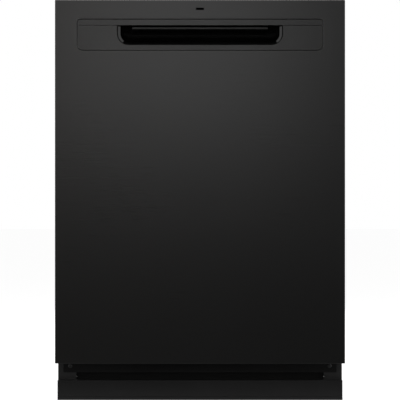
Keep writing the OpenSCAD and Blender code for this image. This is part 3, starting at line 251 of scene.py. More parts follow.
def edgeWear(tree, given):  # edges that have rubbed, broken up by noise
    softened = shade(tree, "Bevel", {"Radius": given["Radius"]}, samples=4).outputs[0]
    flat = shade(tree, "NewGeometry").outputs["Normal"]
    same = shade(tree, "VectorMath", {0: softened, 1: flat}, operation="DOT_PRODUCT").outputs["Value"]
    broken = remap(tree, cloud(tree, Scale=given["Scale"], Detail=6.0, Roughness=0.7), 0.42, 0.62)
    edge = calc(tree, "MULTIPLY", remap(tree, same, 0.985, 0.8), broken)
    return calc(tree, "MULTIPLY", edge, given["Amount"], clamp=True)


def settledDust(tree, given):  # dust that lies on what faces up
    flat = shade(tree, "NewGeometry").outputs["Normal"]
    up = remap(tree, shade(tree, "SeparateXYZ", {0: flat}).outputs["Z"], 0.3, 1.0)
    flecks = remap(tree, cloud(tree, Scale=given["Scale"], Detail=8.0, Roughness=0.75), 0.35, 0.75)
    return calc(tree, "MULTIPLY", calc(tree, "MULTIPLY", up, flecks), given["Amount"], clamp=True)


def zincCrystals(tree, given):  # the patches of a zinc coating
    return shade(tree, "SeparateColor", {0: cells(tree, given["Scale"], "Color")}).outputs[0]


def feltFibres(tree, given):  # short threads that lie in two directions, as in pressed felt
    threads = [remap(tree, cloud(tree, stretched(tree, factors), Scale=1.0, Distortion=1.2), 0.52, 0.68)
               for factors in ((70.0, 900.0, 420.0), (900.0, 420.0, 70.0))]
    return calc(tree, "MULTIPLY", calc(tree, "MAXIMUM", *threads), given["Amount"])


effects = {
    "brushedGrain": (brushedGrain, {"Lines": (4.0, 4.0, 900.0), "Detail": 3.0}),
    "handling": (handling, {"Scale": 6.0, "Contrast": 1.6}),
    "skinTexture": (skinTexture, {"Scale": 900.0, "Pits": 0.3}),
    "edgeWear": (edgeWear, {"Radius": 0.0015, "Amount": 0.6, "Scale": 60.0}),
    "settledDust": (settledDust, {"Amount": 0.2, "Scale": 25.0}),
    "zincCrystals": (zincCrystals, {"Scale": 90.0}),
    "feltFibres": (feltFibres, {"Amount": 0.5}),
}


def buildShaderGroups():
    groups = {}
    for name, (fill, inputs) in effects.items():
        groups[name], given, out = groupTree(name, "ShaderNodeTree", inputs, {"Value": "Float"})
        groups[name].links.new(fill(groups[name], given), out["Value"])
    print("shader groups:", len(groups))
    return groups


# What each finish looks like. Colours are linear, one number is a grey; lengths are metres.
# Skin and lines are (scale, bump), wear is (radius, bare colour), patch is the scale of the uneven patches.
finishLooks = {
    "door_sheet": {"color": 0.001, "tint": (0.0014, 0.0014, 0.0013), "roughness": 0.28, "spread": 0.04,
        "specular": 0.46, "lines": ((3.0, 60.0, 1500.0), 0.02), "patch": 2.5},
    "handle_trim": {"color": 0.0011, "tint": (0.0015, 0.0015, 0.0014), "roughness": 0.29, "spread": 0.04,
        "specular": 0.44, "skin": (1400.0, 0.03), "patch": 5.0},
    "gloss_black": {"color": (0.0022, 0.0022, 0.0023), "tint": (0.0032, 0.0032, 0.0033), "roughness": 0.09,
        "spread": 0.05, "patch": 14.0, "dust": 0.03},
    "slot_black": {"color": (0.0006, 0.0006, 0.0007), "tint": (0.001, 0.001, 0.0011), "roughness": 0.5, "spread": 0.05,
        "specular": 0.0, "patch": 60.0},
    # the pocket's black plastic, darker than gloss_black: its own black plus painted shade of the recess under the
    # grip
    "pocket_black_painted_shade": {"color": 0.0006, "tint": 0.0011, "roughness": 0.1, "spread": 0.05, "patch": 20.0},
    # the access panel's black, darker than kick_steel: painted shade for the panel set back under the door
    "skirt_painted_shade": {"color": 0.0014, "tint": 0.0022, "roughness": 0.45, "specular": 0.16, "skin": (1300.0, 0.06),
        "patch": 8.0},
    "frame_black": {"color": (0.0034, 0.0034, 0.0035), "tint": 0.008, "roughness": 0.5, "spread": 0.16,
        "specular": 0.36, "skin": (1100.0, 0.12), "patch": 12.0, "wear": (0.001, (0.09, 0.09, 0.092))},
    "lens": {"color": (0.0016, 0.0016, 0.002), "tint": (0.0024, 0.0024, 0.003), "roughness": 0.05, "spread": 0.04,
        "coat": 1.0, "patch": 20.0},
    "key": {"color": (0.012, 0.012, 0.0125), "tint": (0.018, 0.018, 0.0185), "roughness": 0.46, "spread": 0.08,
        "skin": (2200.0, 0.12), "patch": 60.0},
    "stainless": {"color": (0.5, 0.5, 0.49), "tint": (0.6, 0.6, 0.59), "roughness": 0.29, "spread": 0.12,
        "metallic": 1.0, "lines": ((5.0, 700.0, 700.0), 0.05), "patch": 5.0, "dust": 0.04},
    "bright_steel": {"color": 0.58, "tint": (0.66, 0.66, 0.65), "roughness": 0.18, "spread": 0.12, "metallic": 1.0,
        "lines": ((900.0, 6.0, 900.0), 0.03), "patch": 20.0},
    "zinc_steel": {"color": (0.46, 0.47, 0.49), "tint": (0.58, 0.58, 0.56), "roughness": 0.36, "spread": 0.16,
        "metallic": 1.0, "crystals": 130.0, "skin": (700.0, 0.04), "patch": 18.0, "dust": 0.1},
    "black_steel": {"color": (0.011, 0.011, 0.012), "tint": 0.018, "roughness": 0.46, "spread": 0.14,
        "skin": (1100.0, 0.12), "patch": 12.0, "wear": (0.0012, (0.14, 0.14, 0.145)), "dust": 0.22},
    "kick_steel": {"color": (0.0022, 0.0022, 0.0023), "tint": 0.0034, "roughness": 0.4, "specular": 0.22,
        "skin": (1300.0, 0.06), "patch": 8.0},
    "seal_rubber": {"color": (0.013, 0.013, 0.0135), "tint": (0.024, 0.024, 0.023), "roughness": 0.68, "spread": 0.15,
        "skin": (900.0, 0.15), "patch": 25.0, "dust": 0.15},
    "bitumen_felt": {"color": (0.075, 0.072, 0.068), "tint": (0.14, 0.135, 0.125), "roughness": 0.93, "spread": 0.08,
        "specular": 0.2, "skin": (420.0, 0.7), "patch": 30.0, "fibres": 0.5, "dust": 0.2},
    "grey_plastic": {"color": (0.16, 0.17, 0.178), "tint": (0.2, 0.208, 0.214), "roughness": 0.42,
        "skin": (1500.0, 0.08), "patch": 16.0, "wear": (0.0009, (0.3, 0.31, 0.32)), "dust": 0.06},
    "dark_plastic": {"color": (0.022, 0.023, 0.025), "tint": (0.036, 0.037, 0.039), "roughness": 0.44,
        "skin": (1300.0, 0.1), "patch": 16.0, "wear": (0.001, (0.09, 0.09, 0.092)), "dust": 0.15},
    "light_plastic": {"color": (0.58, 0.575, 0.55), "tint": (0.66, 0.655, 0.63), "roughness": 0.36,
        "skin": (1500.0, 0.05), "patch": 14.0, "dust": 0.05},
    "hose_plastic": {"color": (0.42, 0.42, 0.4), "tint": (0.52, 0.515, 0.49), "roughness": 0.48,
        "skin": (1000.0, 0.08), "patch": 20.0, "dust": 0.12},
    "nylon_wire": {"color": (0.235, 0.25, 0.262), "tint": (0.29, 0.302, 0.312), "roughness": 0.34,
        "skin": (900.0, 0.06), "patch": 30.0, "coat": 0.15},
    "nylon_dark": {"color": (0.105, 0.115, 0.122), "tint": (0.14, 0.15, 0.157), "roughness": 0.36,
        "skin": (900.0, 0.06), "patch": 30.0, "coat": 0.15},
    "heat_steel": {"color": (0.19, 0.185, 0.18), "tint": (0.3, 0.25, 0.19), "roughness": 0.34, "spread": 0.15,
        "metallic": 1.0, "skin": (1200.0, 0.05), "patch": 22.0},
}

# the values a finish takes where its look gives none
usual = {"spread": 0.1, "specular": 0.5, "metallic": 0.0, "coat": 0.0, "coatRoughness": 0.08,
         "bumpDistance": 0.0004, "dustColor": (0.32, 0.31, 0.29)}


def makeFinish(name, own, groups):
    look = {**usual, **own}
    material = bpy.data.materials.new(name)
    material.use_nodes = True
    tree = material.node_tree
    shader = tree.nodes["Principled BSDF"]
    for key, socket in (("metallic", "Metallic"), ("specular", "Specular IOR Level"), ("coat", "Coat Weight"),
                        ("coatRoughness", "Coat Roughness")):
        shader.inputs[socket].default_value = look[key]

    def grouped(kind, **inputs):
        node = tree.nodes.new("ShaderNodeGroup")
        node.node_tree = groups[kind]
        for key, value in inputs.items():
            node.inputs[key].default_value = value
        return node.outputs[0]

    def mixColor(mask, first, second):
        return shade(tree, "Mix", {0: mask, 6: first, 7: rgba(second)}, data_type="RGBA").outputs[2]

    patches = grouped("handling", Scale=look["patch"])
    color = mixColor(patches, rgba(look["color"]), look["tint"])
    variation, height, strength = patches, None, 0.0
    if "lines" in look:
        scale, strength = look["lines"]
        height = grouped("brushedGrain", Lines=scale)
        color = mixColor(height, color, look["tint"])
        variation = blendValues(tree, 0.55, patches, height)
    if "crystals" in look:
        crystals = grouped("zincCrystals", Scale=look["crystals"])
        color = mixColor(crystals, color, look["tint"])
        variation = blendValues(tree, 0.5, patches, crystals)
    if "skin" in look:
        scale, strength = look["skin"]
        height = grouped("skinTexture", Scale=scale)
    if "fibres" in look:
        felt = grouped("feltFibres", Amount=look["fibres"])
        color = mixColor(felt, color, look["tint"])
        height = calc(tree, "ADD", height, felt)
    if "wear" in look:
        radius, bare = look["wear"]
        color = mixColor(grouped("edgeWear", Radius=radius), color, bare)
    if "dust" in look:
        color = mixColor(grouped("settledDust", Amount=look["dust"]), color, look["dustColor"])
    middle, reach = look["roughness"], look["spread"] / 2
    rough = shade(tree, "MapRange", {"Value": variation, "To Min": middle - reach, "To Max": middle + reach})
    tree.links.new(color, shader.inputs["Base Color"])
    tree.links.new(rough.outputs[0], shader.inputs["Roughness"])
    if height is not None:
        bump = shade(tree, "Bump", {"Height": height, "Strength": strength, "Distance": look["bumpDistance"]})
        tree.links.new(bump.outputs[0], shader.inputs["Normal"])
    return material


def paintNodes(materials):
    slots = {entry["node"]: entry["material_slot"] for entry in frame["record"]["subparts"]}
    slots["heater_ring"] = "heat_steel"
    for name, obj in nodes.items():
        obj.data.materials.clear()
        obj.data.materials.append(materials[slots[name]])
    print("finishes on", len(nodes), "nodes")
    return slots


def arc(first, last, steps):  # even angles between two that are given in degrees
    return [math.radians(first + (last - first) * k / steps) for k in range(steps + 1)]


# Outlines and rings. A rect is (x0, z0, x1, z1, lowRadius, highRadius), seen from the front.
def grown(rect, by):
    x0, z0, x1, z1, low, high = rect
    return x0 - by, z0 - by, x1 + by, z1 + by, max(low + by, 1e-5), max(high + by, 1e-5)


def outlineOf(rect, steps=6):
    x0, z0, x1, z1, low, high = rect
    corners = ((x1 - low, z0 + low, low, -90), (x1 - high, z1 - high, high, 0),
               (x0 + high, z1 - high, high, 90), (x0 + low, z0 + low, low, 180))
    return [(cx + r * math.cos(a), cz + r * math.sin(a)) for cx, cz, r, start in corners
            for a in arc(start, start + 90, steps)]


def ring(work, rect, by, depth, steps=6):
    spot = depth if callable(depth) else (lambda x, z: (x, depth, z))
    return [work.verts.new(spot(x, z)) for x, z in outlineOf(grown(rect, by), steps)]


def bridge(work, rings):
    for first, second in zip(rings, rings[1:]):
        for i in range(len(first)):
            work.faces.new((first[i], first[i - 1], second[i - 1], second[i]))
    return rings


def fillBetween(work, *rings):
    edges = []
    for loop in rings:
        for i in range(len(loop)):
            edges.append(work.edges.get((loop[i], loop[i - 1])) or work.edges.new((loop[i], loop[i - 1])))
    bmesh.ops.triangle_fill(work, edges=edges, use_beauty=True)


def quarter(radius, steps=4):  # a quarter turn as (out, down) pairs
    return [(radius * (1 - math.cos(a)), radius * (1 - math.sin(a))) for a in arc(0, 90, steps)]


def poured(work, name):  # the bmesh as an object
    mesh = bpy.data.meshes.new(name)
    work.to_mesh(mesh)
    work.free()
    return link(bpy.data.objects.new(name, mesh))


def asObject(work, name):
    bmesh.ops.remove_doubles(work, verts=work.verts, dist=1e-6)
    bmesh.ops.recalc_face_normals(work, faces=work.faces)
    return poured(work, name)


def applied(obj):
    bpy.context.view_layer.update()
    view = bpy.context.evaluated_depsgraph_get()
    mesh = bpy.data.meshes.new_from_object(obj.evaluated_get(view), depsgraph=view)
    obj.modifiers.clear()
    obj.data, old = mesh, obj.data
    bpy.data.meshes.remove(old)
    return obj


def smoothed(obj, angle=35):
    obj.data.shade_smooth()
    obj.data.set_sharp_from_angle(angle=math.radians(angle))
    obj.modifiers.new("weighted", "WEIGHTED_NORMAL").keep_sharp = True
    return applied(obj)


def rounded(obj, width, segments=2, angle=32):
    bevel = obj.modifiers.new("roundedEdges", "BEVEL")
    bevel.width, bevel.segments, bevel.limit_method, bevel.angle_limit = width, segments, "ANGLE", math.radians(angle)
    return applied(obj)


def cut(obj, cutters):
    for cutter in cutters:
        boolean = obj.modifiers.new("cut", "BOOLEAN")
        boolean.object, boolean.solver = cutter, "EXACT"
        applied(obj)
        bpy.data.objects.remove(cutter)
    return obj


def block(name, low, high):
    work = bmesh.new()
    bmesh.ops.create_cube(work, size=1.0)
    for vert in work.verts:
        vert.co = [a + (b - a) * (c + 0.5) for a, b, c in zip(low, high, vert.co)]
    return asObject(work, name)


# A piece that stands for a CAD node rides on that node's body.
def dress(obj, finish, node=None, body=None):
    obj.data.materials.clear()
    obj.data.materials.append(materials[finish])
    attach(obj, body or bodyOf[node])
    if node:
        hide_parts(node)
    return obj


def mergedForm(source):
    work = bmesh.new()
    work.from_mesh(nodes[source].data)
    bmesh.ops.remove_doubles(work, verts=work.verts, dist=2e-6)
    return work


def joinFlats(work):  # the triangles of each flat face become one face
    bmesh.ops.dissolve_limit(work, angle_limit=math.radians(0.6), verts=work.verts, edges=work.edges)
    return work


# A CAD node's own form with its edges eased.
def easedForm(name, width, source, segments=2):
    return smoothed(rounded(asObject(joinFlats(mergedForm(source)), name), width, segments))


def eased(name, width, source, finish=None, segments=2):
    return dress(easedForm(name, width, source, segments), finish or slots[source], source)


# geometry trees: a tube that follows a bent path in equal steps, and screw heads on points
def buildTrees():
    trees = {}
    tree, given, out = groupTree("bentWire", "GeometryNodeTree", {
        "Path": "Geometry", "Bend": 0.0, "Count": 1, "Step": (0.0, 0.0, 0.0), "Radius": 0.0025, "Sides": 10,
        "Domed": True, "Finish": "Material"}, {"Mesh": "Geometry"})

    def add(kind, inputs, **settings):
        return place(tree, "GeometryNode" + kind, inputs, **settings).outputs[0]

    def ending(shape, smooth):
        real = add("RealizeInstances", {0: shape})
        if smooth:
            real = add("SetShadeSmooth", {0: real})
        tree.links.new(add("SetMaterial", {"Geometry": real, "Material": given["Finish"]}), out["Mesh"])
        trees[tree.name] = tree

    bent = add("FilletCurve", {"Curve": add("MeshToCurve", {"Mesh": given["Path"]}), "Radius": given["Bend"],
                               "Count": 6, "Limit Radius": True}, mode="POLY")
    spots = add("MeshLine", {"Count": given["Count"], "Offset": given["Step"]})
    paths = add("RealizeInstances", {0: add("InstanceOnPoints", {"Points": spots, "Instance": bent})})
    circle = add("CurvePrimitiveCircle", {"Resolution": given["Sides"], "Radius": given["Radius"]})
    tube = add("CurveToMesh", {"Curve": paths, "Profile Curve": circle, "Fill Caps": True})
    domed = place(tree, "FunctionNodeBooleanMath", {0: add("CurveEndpointSelection", {}), 1: given["Domed"]},
                  operation="AND").outputs[0]
    ball = add("MeshUVSphere", {"Segments": 8, "Rings": 6, "Radius": given["Radius"]})
    tips = add("InstanceOnPoints", {"Points": paths, "Selection": domed, "Instance": ball})
    join = tree.nodes.new("GeometryNodeJoinGeometry")
    for part in (tips, tube):
        tree.links.new(part, join.inputs[0])
    ending(join.outputs[0], smooth=True)

    # A low dome with a round recess, on each vertex, facing along the given turn.
    tree, given, out = groupTree("screwHeads", "GeometryNodeTree", {
        "Spots": "Geometry", "Radius": 0.004, "Height": 0.0018, "Turn": (0.0, 0.0, 0.0), "Finish": "Material"},
        {"Mesh": "Geometry"})
    half, sink = [calc(tree, "MULTIPLY", given["Height"], share) for share in (0.5, -0.7)]
    shape, top = add("MeshCircle", {"Vertices": 18, "Radius": given["Radius"]}, fill_type="NGON"), None
    for lift, scale in ((half, 1.0), (half, 0.72), (0.00002, 0.62), (sink, 0.8)):
        inputs = {"Mesh": shape, "Offset Scale": lift, **({} if top is None else {"Selection": top})}
        raised = place(tree, "GeometryNodeExtrudeMesh", inputs)
        top = raised.outputs["Top"]
        shape = add("ScaleElements", {"Geometry": raised.outputs[0], "Selection": top, "Scale": scale})
    heads = add("InstanceOnPoints", {"Points": given["Spots"], "Instance": shape, "Rotation": given["Turn"]})
    ending(heads, smooth=False)
    print("geometry trees:", len(trees))
    return trees


def grow(tree, name, paths, closed=False, **inputs):
    verts = [point for path in paths for point in path]
    edges, start = [], 0
    for path in paths:
        edges += [(start + i, start + i + 1) for i in range(len(path) - 1)]
        if closed:
            edges.append((start + len(path) - 1, start))
        start += len(path)
    obj = drawn(name, verts, edges)
    modifier = obj.modifiers.new(tree.name, "NODES")
    modifier.node_group = tree
    ids = {item.name: item.identifier for item in tree.interface.items_tree if item.in_out == "INPUT"}
    for key, value in inputs.items():
        modifier[ids[key]] = value
    return applied(obj)


def wire(path, finish, **inputs):
    return grow(trees["bentWire"], "wire", [path], Finish=materials[finish], **inputs)


def screws(name, spots, turn, finish, **inputs):
    obj = grow(trees["screwHeads"], name, [[spot] for spot in spots], Turn=turn, Finish=materials[finish], **inputs)
    return dress(smoothed(obj), finish, body="cabinet")


def joined(name, parts):
    work = bmesh.new()
    for part in parts:
        work.from_mesh(part.data)
        bpy.data.objects.remove(part)
    obj = poured(work, name)
    obj.data.shade_smooth()
    return obj


# the door's front: one folded sheet, open for the handle insert and the status slot
doorSheet = {
    "sheet": 0.0012, "edge": 0.0003, "corner": 0.0014, "curl": 0.0007, "topFlange": 0.012, "topCut": 0.006,
    "insertLap": 0.005, "insertLow": 0.012, "insertHigh": 0.006, "dish": 0.0002, "dishWidth": 0.0042,
    "slotSize": (0.01645, 0.0042), "slotCorner": 0.001, "slotRoll": 0.0004, "windowEdge": 0.0002,
    "notch": (0.016, 0.006), "notchSkin": 0.004, "past": 0.001,
}
doorLow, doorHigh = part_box("door_panel")
fasciaLow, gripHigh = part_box("handle_fascia")[0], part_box("handle_grip")[1]
lap = doorSheet["insertLap"]
insertRect = (fasciaLow.x + lap, fasciaLow.z + lap, gripHigh.x - lap, gripHigh.z - lap,
              doorSheet["insertLow"], doorSheet["insertHigh"])


def buildDoorSheet():
    front, back, t, past = doorLow.y, doorHigh.y, doorSheet["sheet"], doorSheet["past"]
    outline = (doorLow.x, doorLow.z, doorHigh.x, doorHigh.z, doorSheet["corner"], doorSheet["corner"])
    work = bmesh.new()
    outer = [ring(work, outline, -t, front + t), ring(work, outline, -t, back), ring(work, outline, 0, back)]
    outer += [ring(work, outline, -out, front + down) for out, down in quarter(doorSheet["edge"])]
    bridge(work, outer)

    slotLow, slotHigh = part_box("status_lens")
    halfWide, halfTall = [size / 2 for size in doorSheet["slotSize"]]
    slotZ, slotCorner = (slotLow.z + slotHigh.z) / 2, doorSheet["slotCorner"]
    slot = (-halfWide, slotZ - halfTall, halfWide, slotZ + halfTall, slotCorner, slotCorner)
    slotRim = bridge(work, [ring(work, slot, 0, front + t)]
                     + [ring(work, slot, out, front + down) for out, down in quarter(doorSheet["slotRoll"])])

    # The sheet dips a little above the insert before it curls in.
    dip, top, curl = doorSheet["dish"], insertRect[3], doorSheet["curl"]

    def dished(depth):
        return lambda x, z: (x, front + depth + (dip if z > top else 0.0), z)
    rim = [ring(work, insertRect, 0, front + t + dip)]
    rim += [ring(work, insertRect, out, dished(down)) for out, down in quarter(curl)]
    rim.append(ring(work, insertRect, curl + doorSheet["dishWidth"], front))
    bridge(work, rim)
    fillBetween(work, outer[-1], slotRim[-1], rim[-1])
    fillBetween(work, outer[0], slotRim[0], rim[0])
    obj = asObject(work, "doorSheet")

    side, rise = doorSheet["notch"]
    cutters = [block("topCut", (doorLow.x + t, front + doorSheet["topFlange"], doorHigh.z - doorSheet["topCut"]),
                     (doorHigh.x - t, back + past, doorHigh.z + past))]
    for sign in (-1, 1):
        x0, x1 = sorted((sign * (doorHigh.x - side), sign * (doorHigh.x - t)))
        cutters.append(block("notchCut", (x0, front + doorSheet["notchSkin"], doorLow.z - past),
                             (x1, back + past, doorLow.z + rise)))
    dress(smoothed(cut(obj, cutters), 50), "door_sheet", "door_panel")
    eased("statusWindow", doorSheet["windowEdge"], "status_lens", finish="slot_black")
    print("door sheet: folded, with its slot")


# the handle: fascia, grip with its finger rail, and the scooped pocket
handle = {
    "gap": 0.0004, "seam": 0.00015, "edge": 0.0004, "thickness": 0.0028, "tightCorner": 0.001, "spare": 0.1,
    "railEnd": 0.0006, "railInset": 0.0315, "railLift": 0.001,
    "noseOut": 0.0078, "noseRadius": 0.0022, "noseTurns": ((0.0038, 90), (0.0022, 180)), "heel": 0.0015,
    "webTop": 0.003, "webInto": 0.0005, "webLow": 0.0003, "webKnee": (0.0020, 0.0022), "webFoot": (0.0052, 0.006),
    "pocketRim": 0.009, "pocketLow": 0.0235, "pocketHigh": 0.008, "pocketTop": 0.003, "brim": 0.0015,
    "brimCorner": 0.01, "lean": 12.0, "wall": 0.0016, "scoop": 0.012,
    "flare": ((-0.0003, 0.0), (0.0016, 0.0055), (0.0067, 0.0091)),
}


def prism(work, points, depth0, depth1, along="y"):
    spots = (lambda p, d: (p[0], d, p[1])) if along == "y" else (lambda p, d: (d, p[0], p[1]))
    near, far = bridge(work, [[work.verts.new(spots(p, d)) for p in points] for d in (depth0, depth1)])
    work.faces.new(near)
    work.faces.new(far)


def rolled(work, name, width, segments=3):
    return smoothed(rounded(asObject(work, name), width, segments), 40)


def around(x, z, radius, angles):
    return [(x + radius * math.cos(a), z + radius * math.sin(a)) for a in angles]


def buildHandle():
    front = doorLow.y
    gap, seam, tight, spare = [handle[key] for key in ("gap", "seam", "tightCorner", "spare")]
    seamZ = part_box("handle_fascia")[1].z + seam
    x0, z0, x1, z1, low, high = insertRect
    pocketLow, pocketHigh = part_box("handle_pocket")
    rim, corner = handle["pocketRim"], handle["pocketLow"]
    half, sill = pocketHigh.x - rim, pocketLow.z + rim
    back = front + handle["thickness"]

    # The fascia stops at the seam and goes round the pocket's mouth.
    outside = outlineOf((x0 + gap, z0 + gap, x1 - gap, seamZ + spare, low, tight), 10)
    mouth = outlineOf((-half, sill, half, seamZ + spare, corner, tight), 12)
    points = outside[33:] + outside[:11] + [(x1 - gap, seamZ - seam), (half, seamZ - seam)]
    points += mouth[12::-1] + mouth[:38:-1] + [(-half, seamZ - seam), (x0 + gap, seamZ - seam)]
    work = bmesh.new()
    prism(work, points, front, back)
    dress(rolled(work, "handleFascia", handle["edge"]), "handle_trim", "handle_fascia")

    # The grip band, and behind its lower edge the rail that the fingers curl round.
    band = outlineOf((x0 + gap, seamZ + seam - spare, x1 - gap, z1 - gap, tight, high), 8)[9:27]
    work = bmesh.new()
    prism(work, band + [(x0 + gap, seamZ + seam), (x1 - gap, seamZ + seam)], front, back)
    gripLow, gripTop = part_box("handle_grip")
    railZ, railBack, railHalf = gripLow.z + handle["railLift"], gripTop.y, half - handle["railInset"]
    outline = []
    for rise, start in handle["noseTurns"]:
        outline += around(railBack - handle["noseOut"], railZ + rise, handle["noseRadius"], arc(start, start + 90, 4))
    outline += around(railBack - handle["heel"], railZ + handle["heel"], handle["heel"], arc(-90, 0, 3))
    into, (kneeY, kneeZ), (footY, footZ) = back - handle["webInto"], handle["webKnee"], handle["webFoot"]
    outline += [(railBack, seamZ + handle["webTop"]), (into, seamZ + handle["webTop"]),
                (into, seamZ + handle["webLow"]), (railBack - kneeY, seamZ - kneeZ), (railBack - footY, railZ + footZ)]
    prism(work, outline, -railHalf, railHalf, along="x")
    dress(rolled(work, "handleGrip", handle["railEnd"], 2), "handle_trim", "handle_grip")

    # The pocket: a rounded foot and a back that leans away from the fingers.
    top, y0, brim = pocketHigh.z - handle["pocketTop"], pocketLow.y, handle["brim"]
    lean, deepest = math.tan(math.radians(handle["lean"])), pocketHigh.y - handle["wall"] - y0
    mouthRect = (-half, sill, half, top, corner, handle["pocketHigh"])
    work = bmesh.new()

    def shell(wall):
        def leaning(short):
            return lambda x, z: (x, y0 + deepest - (top - min(z, top)) * lean - short, z)
        rings = [ring(work, mouthRect, wall - inset, y0 + depth + (brim if wall else 0.0), 10)
                 for inset, depth in handle["flare"]]
        first = handle["flare"][-1][0]
        for out, down in quarter(handle["scoop"] + wall, 8):
            rings.append(ring(work, mouthRect, wall - first - out, leaning(down - wall), 10))
        return rings
    inner, outer = shell(0.0), shell(handle["wall"])
    brimRect = (-half - rim, sill - rim, half + rim, pocketHigh.z, corner, handle["brimCorner"])
    bridge(work, inner[::-1] + [ring(work, brimRect, 0, y0 + depth, 10) for depth in (0, brim)] + outer)
    work.faces.new(inner[-1])
    work.faces.new(outer[-1])
    # the pocket takes the darker black: painted shade in the recess under the grip
    dress(smoothed(asObject(work, "handlePocket"), 30), "pocket_black_painted_shade", "handle_pocket")
    print("handle: fascia, grip and pocket")


# the control top: console, window, keys and latch
consoleEdges = {"console": 0.0007, "window": 0.0004, "latch": 0.0005, "key": 0.0004, "keys": 4}


def buildConsole():
    eased("controlConsole", consoleEdges["console"], "control_console")
    eased("displayWindow", consoleEdges["window"], "display_lens")
    eased("doorLatch", consoleEdges["latch"], "door_latch")
    for i in range(1, consoleEdges["keys"] + 1):
        eased("keyCap_%d" % i, consoleEdges["key"], "button_%d" % i, segments=3)
    print("console: keys, window and latch")


# the racks: bent wires in the same places as their plain rods
racks = {
    "lower": {"half": 0.248, "y": (-0.223, 0.249), "floor": 0.195, "wall": 0.145, "count": (9, 9), "bend": 0.026,
              "rail": 0.45, "tineX": (-0.2, -0.13, -0.06, 0.158)},
    "upper": {"half": 0.252, "y": (-0.223, 0.2175), "floor": 0.512, "wall": 0.128, "count": (9, 8), "bend": 0.018,
              "rail": 0.5, "tineX": (-0.07, 0.07, 0.15)},
    "finish": "nylon_wire", "darkFinish": "nylon_dark", "wire": 0.0025, "rim": 0.003, "tine": 0.002,
    "corner": 0.028, "cornerRoom": 0.008, "cross": 0.0042, "pitch": 0.034, "tineStart": 0.004,
    "clipThick": 0.0055, "clipOut": 0.0028, "clipEdge": 0.0004,
    "combStart": 0.017, "combCount": 10, "shelfZ": 0.596, "shelfInset": 0.017, "shelfBend": 0.012,
    "shelfMiddle": (0.0432, 0.0026), "rodCount": 6, "rodLift": 0.0006, "rodThinner": 0.0003,
    "basketEdge": 0.0006, "wheelEdge": 0.0005,
}


def evenly(a, b, count):
    margin = racks["corner"] + racks["cornerRoom"]
    return [a + margin + (b - a - 2 * margin) * i / (count - 1) for i in range(count)]


# The parts of a CAD node for which keep(low, high) holds.
def looseParts(source, keep):
    work = mergedForm(source)
    waiting, drop = set(work.verts), []
    while waiting:
        group = [waiting.pop()]
        for vert in group:
            near = {edge.other_vert(vert) for edge in vert.link_edges} & waiting
            waiting -= near
            group += near
        low, high = [[pick(v.co[i] for v in group) for i in range(3)] for pick in (min, max)]
        if not keep(low, high):
            drop += group
    bmesh.ops.delete(work, geom=drop, context="VERTS")
    return smoothed(rounded(asObject(joinFlats(work), source + "Parts"), racks["clipEdge"]))


def buildBasket(name):
    kind, finish = racks[name], racks["finish"]
    half, (y0, y1), floor, bend = kind["half"], kind["y"], kind["floor"], kind["bend"]
    cross, rimZ, mid = racks["cross"], floor + kind["wall"], (y0 + y1) / 2
    xs = evenly(-half, half, kind["count"][0])
    ys = [mid + y for y in evenly(-(y1 - y0) / 2, (y1 - y0) / 2, kind["count"][1])]
    alongY = [(xs[0], y0, rimZ), (xs[0], y0, floor), (xs[0], y1, floor), (xs[0], y1, rimZ)]
    alongX = [(x, ys[0], z) for x, z in ((-half, rimZ), (-half, floor + cross), (half, floor + cross), (half, rimZ))]
    rows = ((alongY, len(xs), (xs[1] - xs[0], 0, 0)), (alongX, len(ys), (0, ys[1] - ys[0], 0)))
    parts = [wire(path, finish, Bend=bend, Count=count, Step=step, Radius=racks["wire"], Domed=False)
             for path, count, step in rows]
    for inset, z, radius in ((0.0, rimZ, racks["rim"]), (cross, floor + kind["wall"] * kind["rail"], racks["wire"])):
        x, near, far = half - inset, y0 + inset, y1 - inset
        parts.append(wire([(-x, near, z), (x, near, z), (x, far, z), (-x, far, z)], finish, closed=True,
                          Bend=racks["corner"] - inset, Radius=radius, Domed=False, Sides=12))
    node = name + "_rack_basket"
    parts.append(looseParts(node, lambda low, high: min(b - a for a, b in zip(low, high)) > racks["clipThick"]
                            or abs(low[0] + high[0]) / 2 > half + racks["clipOut"]))
    dress(joined(name + "RackWires", parts), finish, node)


def buildTines(name):
    node, r, start, finish = name + "_rack_tines", racks["tine"], racks["tineStart"], racks["finish"]
    low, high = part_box(node)
    y0, y1, base = low.y + r, high.y - r, low.z + r
    count = int((y1 - y0 - start) / racks["pitch"]) + 1
    parts = []
    for x in racks[name]["tineX"]:
        parts.append(wire([(x, y0, base), (x, y1, base)], finish, Radius=r))
        parts.append(wire([(x, y0 + start, base), (x, y0 + start, high.z - r)], finish, Count=count,
                          Step=(0, racks["pitch"], 0), Radius=r))
    dress(joined(name + "Tines", parts), finish, node)


